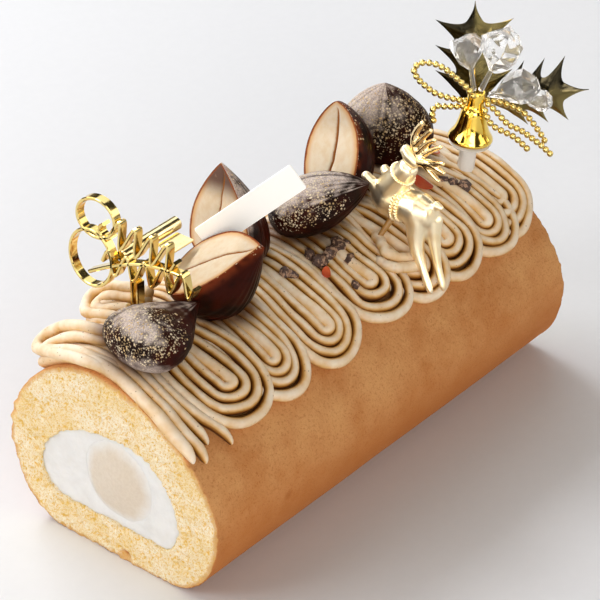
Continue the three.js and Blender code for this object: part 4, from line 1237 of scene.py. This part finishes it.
def sponge_finish(colours):
    """Pale crumb with golden pores on the cut ends, tan skin with fine darker speckle round the outside."""
    finish = Finish("Sponge", Roughness=0.85, Specular_IOR_Level=0.2, Subsurface_Weight=0.06,
                    Subsurface_Radius=(1.0, 0.5, 0.2), Subsurface_Scale=0.003)
    depth = finish.value("depth")
    pore = finish.value("pore")
    crumb = finish.mix(finish.noise(8, 3).step(0.35, 0.7), colours.crumb, colours.crumb_warm)
    golden = (pore * 0.8 + finish.noise(0.7, 2).step(0.45, 0.7) * 0.7).step(0.15, 1.1)
    crumb = finish.mix(golden, crumb, colours.pore)
    grain = finish.noise(0.5, 2, 0.7).step(0.5, 0.62)
    crumb = finish.mix(grain * 0.62, crumb, colours.pore)
    crust_edge = 1 - (depth + finish.noise(2.2, 2) * 1.8).step(1.4, 2.9)
    crumb = finish.mix(crust_edge * 0.8, crumb, colours.crust)
    speckle = finish.noise(0.7, 2, 0.7).step(0.48, 0.75)
    blotch = finish.noise(15, 4, 0.6).step(0.3, 0.75)
    skin = finish.mix(blotch * 0.7, colours.skin, colours.skin_dark)
    skin = finish.mix(speckle * 0.5, skin, colours.skin_speck)
    # The skin darkens towards the bottom
    low = 1 - finish.along("Z").step(12, 40)
    skin = finish.mix(low * 0.85, skin, colours.skin_dark)
    mark = 1 - finish.cells(55).step(0.02, 0.05)
    skin = finish.mix(mark * 0.5, skin, colours.skin_speck)
    inside = depth.step(0.05, 0.5)
    finish.feed(Base_Color=finish.mix(inside, skin, crumb))
    finish.bump(finish.noise(0.8, 4, 0.65) * (0.45 + inside * 0.55), 0.7, 0.8)
    return finish.material


def cream_finish(colours):
    """Smooth white cream with a soft, slightly grainy surface."""
    finish = Finish("Whipped cream", Roughness=0.6, Specular_IOR_Level=0.3, Subsurface_Weight=0.2,
                    Subsurface_Radius=(1.0, 0.8, 0.6), Subsurface_Scale=0.004)
    finish.feed(Base_Color=finish.mix(finish.noise(5, 3).step(0.3, 0.75), colours.cream, colours.cream_shade))
    finish.bump(finish.noise(0.6, 3) * 0.5 + finish.noise(3, 2) * 0.5, 0.3, 0.5)
    return finish.material


def core_finish(colours):
    """Beige chestnut cream that pales into the cream round it."""
    finish = Finish("Chestnut cream core", Roughness=0.6, Specular_IOR_Level=0.3, Subsurface_Weight=0.2,
                    Subsurface_Radius=(1.0, 0.75, 0.5), Subsurface_Scale=0.004)
    edge = (finish.value("share") + finish.noise(5, 3) * 0.3 - 0.15).step(0.66, 1.06)
    beige = finish.mix(finish.noise(0.9, 3).step(0.3, 0.7) * 0.4, colours.core, colours.core_shade)
    finish.feed(Base_Color=finish.mix(edge, beige, colours.cream))
    finish.bump(finish.noise(0.5, 3), 0.2, 0.4)
    return finish.material


def strand_finish(colours):
    """Piped chestnut cream: pale tops, painted shade warm down the sides and dark in the grooves, painted
    shade round the chestnuts, tiny specks.
    """
    finish = Finish("Piped strands", Roughness=0.5, Specular_IOR_Level=0.3, Subsurface_Weight=0.1,
                    Subsurface_Radius=(1.0, 0.6, 0.3), Subsurface_Scale=0.002)
    groove = finish.value("groove") + finish.noise(4, 2) * 0.16 - 0.08
    top = finish.mix(finish.noise(7, 3).step(0.35, 0.75) * 0.4, colours.strand, colours.strand_warm_and_shade)
    # Painted shade: warm down each strand's sides, then golden and dark brown into the grooves
    tone = finish.mix(groove.step(-0.03, 0.13), top, colours.strand_warm_and_shade)
    tone = finish.mix(groove.step(0.08, 0.21), tone, colours.groove_side)
    tone = finish.mix(groove.step(0.18, 0.36), tone, colours.groove)
    # Painted shade cast by the chestnuts on the strands round them
    tone = finish.mix(finish.value("syrup").step(0.28, 0.8) * 0.88, tone, colours.groove)
    specks = 1 - finish.cells(1.5).step(0.1, 0.16)
    rare = finish.noise(3.1, 1).step(0.52, 0.58)
    tone = finish.mix(specks * rare * 0.7, tone, colours.strand_speck)
    finish.feed(Base_Color=tone)
    finish.bump(finish.noise(0.5, 3) * 0.6 + finish.noise(1.6, 2) * 0.4, 0.25, 0.5)
    return finish.material


def sugared(finish, base, colours):
    """Sugar over a skin: a pale bloom, then pale or golden grains of two sizes; gives tone and grains."""
    frost = finish.value("frost")
    bloom = frost * (0.5 + finish.noise(0.45, 3, 0.7).step(0.35, 0.65) * 0.5)
    tone = finish.mix(bloom * 0.92, base, colours.frost)
    share = finish.value("grains")
    coarse = finish.grains(1.0, share * 0.75)
    fine = finish.grains(0.6, share * 0.95)
    grains = finish.node("ShaderNodeMath", {"operation": "MAXIMUM"}, {0: coarse, 1: fine * 0.7})
    kind = finish.noise(3, 2).step(0.4, 0.65)
    return finish.mix(grains, tone, finish.mix(kind, colours.sugar, colours.glitter)), grains


def chestnut_finish(colours):
    """Dark candied skin under sugar."""
    finish = Finish("Candied chestnut", Specular_IOR_Level=0.06)
    base = finish.mix(finish.noise(9, 3).step(0.35, 0.7), colours.chestnut, colours.chestnut_red)
    tone, grains = sugared(finish, base, colours)
    finish.feed(Base_Color=tone, Roughness=0.42 + finish.value("frost") * 0.35)
    finish.bump(grains * 0.7 + finish.noise(0.6, 3) * 0.3, 0.35, 0.7)
    return finish.material


def half_chestnut_finish(colours):
    """Creamy cut face with a cleft and a darker tip, inside an orange edge, a brown rim and a dark skin."""
    finish = Finish("Halved chestnut", Specular_IOR_Level=0.05, Subsurface_Weight=0.1,
                    Subsurface_Radius=(1.0, 0.5, 0.2), Subsurface_Scale=0.003)
    cut = finish.value("cut").step(0.4, 0.6)
    rim = finish.value("rim") + finish.noise(3, 2) * 1.0 - 0.5
    flesh = finish.mix(finish.noise(3, 4, 0.65).step(0.35, 0.7), colours.flesh, colours.flesh_warm)
    flesh = finish.mix((1 - rim.step(0.5, 3.6)) * 0.8, flesh, colours.flesh_edge)
    flesh = finish.mix(finish.value("tip") * finish.noise(4, 3).step(0.1, 0.4), flesh, colours.flesh_tip)
    cleft = finish.value("cleft") + finish.noise(1.5, 2) * 0.3 - 0.15
    flesh = finish.mix(cleft.step(0.12, 0.5), flesh, colours.cleft)
    flesh = finish.mix(1 - rim.step(0.5, 1.2), flesh, colours.rim)
    skin = finish.mix(finish.noise(9, 3).step(0.4, 0.65), colours.chestnut_red, colours.chestnut)
    glow = (1 - rim.step(0.3, 2.8)) * finish.noise(6, 2).step(0.35, 0.6)
    skin = finish.mix(glow, skin, colours.chestnut_glow)
    skin, grains = sugared(finish, skin, colours)
    finish.feed(Base_Color=finish.mix(cut, skin, flesh),
                Roughness=0.28 + (1 - cut) * finish.value("frost") * 0.4 + cut * 0.17)
    finish.bump(grains * (1 - cut) * 0.6 + finish.noise(1.2, 3) * 0.4, 0.25, 0.5)
    return finish.material


def metal_finish(name, colour, roughness, wear, metallic=1.0):
    """Gilt metal: its colour varies a little, and fine wear breaks its shine."""
    finish = Finish(name, Metallic=metallic)
    warm = tuple(c * k for c, k in zip(colour, (0.95, 0.88, 0.74)))
    finish.feed(Base_Color=finish.mix(finish.noise(6, 2).step(0.35, 0.7), colour, warm),
                Roughness=roughness + finish.noise(1.2, 3).step(0.4, 0.8) * wear)
    finish.bump(finish.noise(3.5, 1), 0.02, 0.1)
    return finish.material


def leaf_finish(colours):
    """Dark gilt foil with a bright midrib, one half of each leaf across its fold painted darker as a painted
    dark reflection.
    """
    finish = Finish("Holly foil", Metallic=1.0)
    rib = finish.value("rib").step(0.35, 0.9)
    # Painted dark reflection on one side of the fold
    shade = (finish.value("fold") * 1.6 + finish.noise(9, 2) * 0.8).step(-0.2, 1.0)
    dark = finish.mix(shade, colours.dark_gilt, colours.foil_shade)
    finish.feed(Base_Color=finish.mix(rib, dark, colours.champagne),
                Roughness=0.12 + finish.noise(2, 3).step(0.4, 0.8) * 0.1)
    finish.bump(finish.noise(2.5, 2), 0.12, 0.35)
    return finish.material


def plain_finish(name, colour, shade, roughness, **constants):
    """A smooth dyed surface with slight cloudiness and fine tooth."""
    finish = Finish(name, **constants)
    finish.feed(Base_Color=finish.mix(finish.noise(4, 3).step(0.3, 0.75), colour, shade),
                Roughness=roughness + finish.noise(1.1, 2).step(0.4, 0.8) * 0.08)
    finish.bump(finish.noise(0.5, 3), 0.08, 0.3)
    return finish.material


def nib_finish(colours):
    """Cocoa nib: dark brown with pale broken edges."""
    finish = Finish("Cocoa nib", Roughness=0.6)
    pale = finish.noise(1.3, 2).step(0.5, 0.62)
    finish.feed(Base_Color=finish.mix(pale * 0.8, colours.nib, colours.nib_pale))
    finish.bump(finish.noise(0.6, 3), 0.3, 0.6)
    return finish.material


def colour_property(label, words, value):
    """A colour that the user can change."""
    return bpy.props.FloatVectorProperty(
        name=label, description=words, subtype="COLOR", size=3, min=0, max=1, default=value)


class SwissRollColours(bpy.types.PropertyGroup):
    """Colours of the roll and what lies on it."""
    crumb: colour_property("Crumb", "Sponge at the cut ends", (0.97, 0.86, 0.66))
    crumb_warm: colour_property("Warm crumb", "Yellower patches of the crumb", (0.92, 0.72, 0.41))
    pore: colour_property("Pore", "Golden pores of the crumb", (0.80, 0.495, 0.08))
    crust: colour_property("Crust", "Thin rim of the cut ends", (0.70, 0.37, 0.11))
    skin: colour_property("Skin", "Baked outside of the roll", (0.74, 0.38, 0.146))
    # Dark skin serves both the deeper patches and the skin's darkening towards the bottom
    skin_dark: colour_property("Dark skin", "Deeper baked patches", (0.50, 0.165, 0.036))
    skin_speck: colour_property("Skin speck", "Fine dark specks of the skin", (0.38, 0.09, 0.012))
    cream: colour_property("Cream", "Whipped cream", (0.80, 0.79, 0.77))
    cream_shade: colour_property("Cream shade", "Duller parts of the cream", (0.74, 0.725, 0.70))
    core: colour_property("Core", "Chestnut cream core", (0.70, 0.61, 0.50))
    core_shade: colour_property("Core shade", "Grain of the core", (0.61, 0.51, 0.40))
    strand: colour_property("Strand", "Tops of the piped strands", (0.96, 0.83, 0.66))
    # Painted shade on the strands: the warm strand colour darkens their sides as well as warming their tops
    # at random; groove side and groove darken the grooves
    strand_warm_and_shade: colour_property("Warm strand", "Warmer sides of the strands", (0.72, 0.43, 0.14))
    groove_side: colour_property("Groove side", "Golden sides of the grooves", (0.36, 0.145, 0.016))
    groove: colour_property("Groove", "Grooves between strands", (0.10, 0.028, 0.003))
    strand_speck: colour_property("Strand speck", "Tiny specks in the strands", (0.2, 0.09, 0.03))
    chestnut: colour_property("Chestnut", "Candied skin", (0.009, 0.0035, 0.002))
    chestnut_red: colour_property("Red chestnut", "Redder candied skin", (0.036, 0.005, 0.002))
    chestnut_glow: colour_property("Chestnut glow", "Candied skin beside a cut", (0.17, 0.030, 0.008))
    frost: colour_property("Frost", "Sugar bloom", (0.80, 0.66, 0.58))
    sugar: colour_property("Sugar", "Pale sugar grains", (0.78, 0.65, 0.46))
    glitter: colour_property("Glitter", "Gold dust on the chestnuts", (0.62, 0.42, 0.20))
    flesh: colour_property("Flesh", "Cut face of a chestnut", (0.78, 0.65, 0.48))
    flesh_warm: colour_property("Warm flesh", "Warmer parts of a cut face", (0.74, 0.57, 0.37))
    flesh_edge: colour_property("Flesh edge", "Cut face towards its rim", (0.64, 0.30, 0.07))
    flesh_tip: colour_property("Flesh tip", "Greyer flesh at the tip", (0.13, 0.07, 0.05))
    cleft: colour_property("Cleft", "Cleft down a cut face", (0.36, 0.14, 0.035))
    rim: colour_property("Rim", "Thin rim of a cut face", (0.26, 0.065, 0.015))
    nib: colour_property("Nib", "Cocoa nibs", (0.045, 0.018, 0.010))
    nib_pale: colour_property("Pale nib", "Broken edges of the nibs", (0.50, 0.31, 0.20))
    petal: colour_property("Petal", "Dried petals", (0.52, 0.045, 0.008))
    petal_light: colour_property("Light petal", "Lighter parts of the petals", (0.62, 0.11, 0.02))
    card: colour_property("Card", "Leaning card", (0.97, 0.96, 0.93))
    card_shade: colour_property("Card shade", "Duller parts of the card", (0.95, 0.935, 0.90))
    gilt: colour_property("Gilt", "Polished gilt", (0.80, 0.63, 0.25))
    pale_gilt: colour_property("Pale gilt", "Gilt tube and plate", (0.95, 0.82, 0.46))
    champagne: colour_property("Champagne gilt", "Satin gilt of the reindeer", (1.0, 0.87, 0.61))
    antler: colour_property("Antler gilt", "Polished gilt of the antlers", (0.85, 0.66, 0.36))
    amber: colour_property("Amber", "Stick that holds the reindeer", (0.55, 0.30, 0.08))
    amber_light: colour_property("Light amber", "Lighter parts of the stick", (0.65, 0.38, 0.12))
    bell: colour_property("Bell gilt", "Polished gilt of the bell", (0.92, 0.66, 0.13))
    bead: colour_property("Bead gilt", "Polished gilt of the bead strings", (0.64, 0.51, 0.19))
    milk: colour_property("Milk plastic", "Post under the bell", (0.90, 0.90, 0.88))
    milk_shade: colour_property("Milk shade", "Duller parts of the post", (0.86, 0.86, 0.84))
    clear: colour_property("Clear plastic", "Cut stones", (1.0, 1.0, 1.0))
    clear_shade: colour_property("Clear shade", "Duller parts of the stones", (0.97, 0.98, 0.98))
    dark_gilt: colour_property("Dark gilt", "Foil of the holly leaves", (0.25, 0.20, 0.075))
    # Foil shade is a painted dark reflection on one half of each leaf
    foil_shade: colour_property("Foil shade", "Darker foil of the leaves", (0.04, 0.034, 0.02))
    floor: colour_property("Floor", "Floor of the studio", (0.73, 0.73, 0.74))
    floor_light: colour_property("Light floor", "Lighter parts of the floor", (0.74, 0.74, 0.75))


class SwissRollSizes(bpy.types.PropertyGroup):
    """Sizes that a user would change."""
    strand_radius: bpy.props.FloatProperty(
        name="Strand radius", description="Radius of one piped strand", unit="LENGTH",
        default=1.76 * MM, min=1.3 * MM, max=2 * MM)
    casting_grain: bpy.props.FloatProperty(
        name="Casting grain", description="Mesh size of the cast reindeer", unit="LENGTH",
        default=0.3 * MM, min=0.25 * MM, max=1 * MM)


class SWISSROLL_OT_sponge(bpy.types.Operator):
    """Make the sponge roll"""
    bl_idname = "swissroll.sponge"
    bl_label = "Sponge"

    def execute(self, context):
        colours = context.scene.swiss_roll_colours
        sponge_shape().dress("sponge_roll", sponge_finish(colours), "sponge")
        return {"FINISHED"}


class SWISSROLL_OT_filling(bpy.types.Operator):
    """Make the whipped cream and its chestnut core"""
    bl_idname = "swissroll.filling"
    bl_label = "Filling"

    def execute(self, context):
        colours = context.scene.swiss_roll_colours
        cream_shape().dress("whipped_cream", cream_finish(colours), "whipped_cream")
        beige = core_finish(colours)
        core_shape().build("chestnut_core_dressed", beige, "chestnut_cream_core", "chestnut_cream")
        return {"FINISHED"}


class SWISSROLL_OT_strands(bpy.types.Operator):
    """Pipe the chestnut strands and strew the nibs and petals"""
    bl_idname = "swissroll.strands"
    bl_label = "Strands"

    def execute(self, context):
        colours = context.scene.swiss_roll_colours
        radius = context.scene.swiss_roll_sizes.strand_radius / MM
        node, slot = "piped_strands", "chestnut_cream"
        strands_shape(radius).dress(node, strand_finish(colours), slot)
        nibs_shape().build("cocoa_nibs", nib_finish(colours), node, slot, smooth=False)
        petal = plain_finish("Dried petal", colours.petal, colours.petal_light, 0.5)
        petals_shape().build("dried_petals", petal, node, slot)
        return {"FINISHED"}


class SWISSROLL_OT_chestnuts(bpy.types.Operator):
    """Lay the whole and halved candied chestnuts"""
    bl_idname = "swissroll.chestnuts"
    bl_label = "Chestnuts"

    def execute(self, context):
        colours = context.scene.swiss_roll_colours
        whole, half = chestnut_finish(colours), half_chestnut_finish(colours)
        for k, (node, place) in enumerate(WHOLE_CHESTNUTS.items()):
            whole_chestnut_shape(**place, seed=100 + 20 * k).dress(node, whole, "candied_chestnut")
        for k, (node, place) in enumerate(HALF_CHESTNUTS.items()):
            half_chestnut_shape(**place, seed=200 + 20 * k).dress(node, half, "cut_chestnut", crease=50)
        return {"FINISHED"}


class SWISSROLL_OT_plaque(bpy.types.Operator):
    """Lean the card on the chestnuts"""
    bl_idname = "swissroll.plaque"
    bl_label = "Card"

    def execute(self, context):
        colours = context.scene.swiss_roll_colours
        # The card glows a little, though it is no lamp: painted light that keeps it as white as a card in
        # full light
        card = plain_finish("Card", colours.card, colours.card_shade, 0.3,
                            Emission_Color=(1.0, 0.98, 0.93, 1), Emission_Strength=0.18)
        card_shape().dress("plaque", card, "card", crease=35)
        return {"FINISHED"}


class SWISSROLL_OT_scroll(bpy.types.Operator):
    """Stand the gilt scroll with its tube and plate"""
    bl_idname = "swissroll.scroll"
    bl_label = "Gilt scroll"

    def execute(self, context):
        colours = context.scene.swiss_roll_colours
        gilt = metal_finish("Polished gilt", colours.gilt, 0.1, 0.1)
        pale = metal_finish("Pale gilt", colours.pale_gilt, 0.14, 0.1)
        scroll_shape().dress("scroll_ornament", gilt, "gilt", crease=40)
        tube_shape().dress("gilt_tube", pale, "gilt", crease=40)
        plate_shape().dress("gilt_plate", pale, "gilt", crease=35)
        return {"FINISHED"}


class SWISSROLL_OT_reindeer(bpy.types.Operator):
    """Cast the reindeer and set it on its pick"""
    bl_idname = "swissroll.reindeer"
    bl_label = "Reindeer"

    def execute(self, context):
        colours = context.scene.swiss_roll_colours
        grain = context.scene.swiss_roll_sizes.casting_grain
        node, slot = "reindeer", "champagne_gilt"
        champagne = metal_finish("Champagne gilt", colours.champagne, 0.28, 0.08, 0.88)
        polished = metal_finish("Polished champagne gilt", colours.antler, 0.1, 0.06)
        limbs_shape(DEER_LIMBS).cast("reindeer_dressed", champagne, node, slot, grain, 36)
        limbs_shape(DEER_ANTLERS).cast("reindeer_antlers", polished, node, slot, grain, 8)
        bands_shape().build("reindeer_bands", champagne, node, slot)
        amber = plain_finish("Amber pick", colours.amber, colours.amber_light, 0.15,
                             Transmission_Weight=0.4, IOR=1.5)
        pick_shape().dress("reindeer_pick", amber, "amber", crease=50)
        return {"FINISHED"}


class SWISSROLL_OT_spray(bpy.types.Operator):
    """Make the bell on its post with beads, leaves and crystals"""
    bl_idname = "swissroll.spray"
    bl_label = "Bell spray"

    def execute(self, context):
        colours = context.scene.swiss_roll_colours
        bell = metal_finish("Bell gilt", colours.bell, 0.07, 0.06)
        bead = metal_finish("Bead gilt", colours.bead, 0.08, 0.06)
        milk = plain_finish("Milk plastic", colours.milk, colours.milk_shade, 0.3,
                            Subsurface_Weight=0.3, Subsurface_Radius=(1, 1, 0.9), Subsurface_Scale=0.003)
        clear = plain_finish("Clear plastic", colours.clear, colours.clear_shade, 0.02,
                             IOR=1.45, Transmission_Weight=0.92)
        foil = leaf_finish(colours)
        upright_shape(POST_PROFILE, 0).dress("bell_post", milk, "milk_plastic", crease=50)
        upright_shape(BELL_PROFILE, BELL_HEIGHT).dress("bell", bell, "gilt", crease=50)
        for node, route in BEAD_ROUTES.items():
            bead_shape(route).dress(node, bead, "gilt")
        for node, place in LEAVES.items():
            leaf_shape(**place).dress(node, foil, "dark_gilt")
        for node, place in CRYSTALS.items():
            crystal_shape(**place).dress(node, clear, "clear_plastic", smooth=False)
        return {"FINISHED"}


class SWISSROLL_OT_stage(bpy.types.Operator):
    """Set the pale floor, the soft lights and the camera"""
    bl_idname = "swissroll.stage"
    bl_label = "Stage"

    def execute(self, context):
        colours = context.scene.swiss_roll_colours
        context.scene.view_settings.view_transform = "Standard"
        add_floor(context.scene, plain_finish("Floor", colours.floor, colours.floor_light, 0.6))
        add_surround(context.scene)
        add_lights(context.scene)
        add_camera(context.scene)
        return {"FINISHED"}


def add_floor(scene, finish):
    """A flat square floor under the roll."""
    mesh = bpy.data.meshes.new("floor")
    corners = [(x * FLOOR_HALF, y * FLOOR_HALF, 0) for x, y in ((-1, -1), (1, -1), (1, 1), (-1, 1))]
    mesh.from_pydata(corners, [], [(0, 1, 2, 3)])
    mesh.materials.append(finish)
    floor = bpy.data.objects.new("floor", mesh)
    scene.collection.objects.link(floor)


def add_surround(scene):
    """A warm surround: even and dim as light, but broken into bright cards where metal mirrors it."""
    world = bpy.data.worlds.new("Studio")
    world.use_nodes = True
    background = world.node_tree.nodes["Background"].inputs
    background["Color"].default_value = SURROUND_COLOUR
    studio = Nodes(world.node_tree)
    bearing = studio.node("ShaderNodeTexCoord", {}, {}, "Generated")
    noise = studio.node("ShaderNodeTexNoise", {}, {"Vector": bearing, "Scale": 2.2, "Detail": 0.0})
    cards = noise.step(0.45, 0.6)
    polished = studio.node("ShaderNodeLightPath", {}, {}, "Is Glossy Ray")
    strength = SURROUND_LIGHT + polished * (cards * SURROUND_SHINE + SURROUND_GAP - SURROUND_LIGHT)
    world.node_tree.links.new(strength.socket, background["Strength"])
    scene.world = world


def add_lights(scene):
    """Soft area lights, each turned to the roll: a key from behind and weaker fills round it."""
    for name, setting in LIGHTS.items():
        light = bpy.data.lights.new(name, "AREA")
        light.shape = "RECTANGLE"
        light.size, light.size_y = setting["size"]
        light.energy = setting["power"]
        light.color = setting["colour"]
        lamp = bpy.data.objects.new(name, light)
        back = unit(setting["place"])
        across = unit(np.cross((0, 0, 1), back))
        lamp.matrix_world = axes_matrix(across, np.cross(back, across), back, setting["place"])
        scene.collection.objects.link(lamp)


def axes_matrix(x_axis, y_axis, z_axis, place):
    """A placing matrix from three axes and a place."""
    columns = np.eye(4)
    columns[:3] = np.column_stack([x_axis, y_axis, z_axis, place])
    return Matrix(columns.tolist())


def add_camera(scene):
    """The photo's view: a long lens from the front left, above."""
    lens = bpy.data.cameras.new("photo_view")
    lens.lens = CAMERA_LENS
    lens.sensor_width = 36
    lens.clip_end = 20
    camera = bpy.data.objects.new("photo_view", lens)
    yaw, pitch = CAMERA_YAW, CAMERA_PITCH
    ahead = np.array([math.cos(pitch) * math.cos(yaw), math.cos(pitch) * math.sin(yaw), -math.sin(pitch)])
    right = np.array([math.sin(yaw), -math.cos(yaw), 0])
    camera.matrix_world = axes_matrix(right, np.cross(right, ahead), -ahead, CAMERA_PLACE * MM)
    scene.collection.objects.link(camera)
    scene.camera = camera


STEPS = (
    SWISSROLL_OT_sponge, SWISSROLL_OT_filling, SWISSROLL_OT_strands, SWISSROLL_OT_chestnuts,
    SWISSROLL_OT_plaque, SWISSROLL_OT_scroll, SWISSROLL_OT_reindeer, SWISSROLL_OT_spray, SWISSROLL_OT_stage,
)


class SWISSROLL_PT_pieces(bpy.types.Panel):
    """Lists the settings and the steps"""
    bl_idname = "SWISSROLL_PT_pieces"
    bl_label = "Swiss Roll"
    bl_space_type = "VIEW_3D"
    bl_region_type = "UI"
    bl_category = "Swiss Roll"

    def draw(self, context):
        for settings in (context.scene.swiss_roll_sizes, context.scene.swiss_roll_colours):
            for name in settings.__annotations__:
                self.layout.prop(settings, name)
        for step in STEPS:
            self.layout.operator(step.bl_idname)


CLASSES = (SwissRollColours, SwissRollSizes, *STEPS, SWISSROLL_PT_pieces)


def register():
    """Registers the classes and hangs the settings on the scene."""
    for each in CLASSES:
        bpy.utils.register_class(each)
    bpy.types.Scene.swiss_roll_colours = bpy.props.PointerProperty(type=SwissRollColours)
    bpy.types.Scene.swiss_roll_sizes = bpy.props.PointerProperty(type=SwissRollSizes)


def unregister():
    """Takes back what register did."""
    del bpy.types.Scene.swiss_roll_sizes
    del bpy.types.Scene.swiss_roll_colours
    for each in reversed(CLASSES):
        bpy.utils.unregister_class(each)


def main():
    """Makes every piece in order."""
    register()
    for step in STEPS:
        family, name = step.bl_idname.split(".")
        getattr(getattr(bpy.ops, family), name)()


if __name__ == "__main__":
    main()
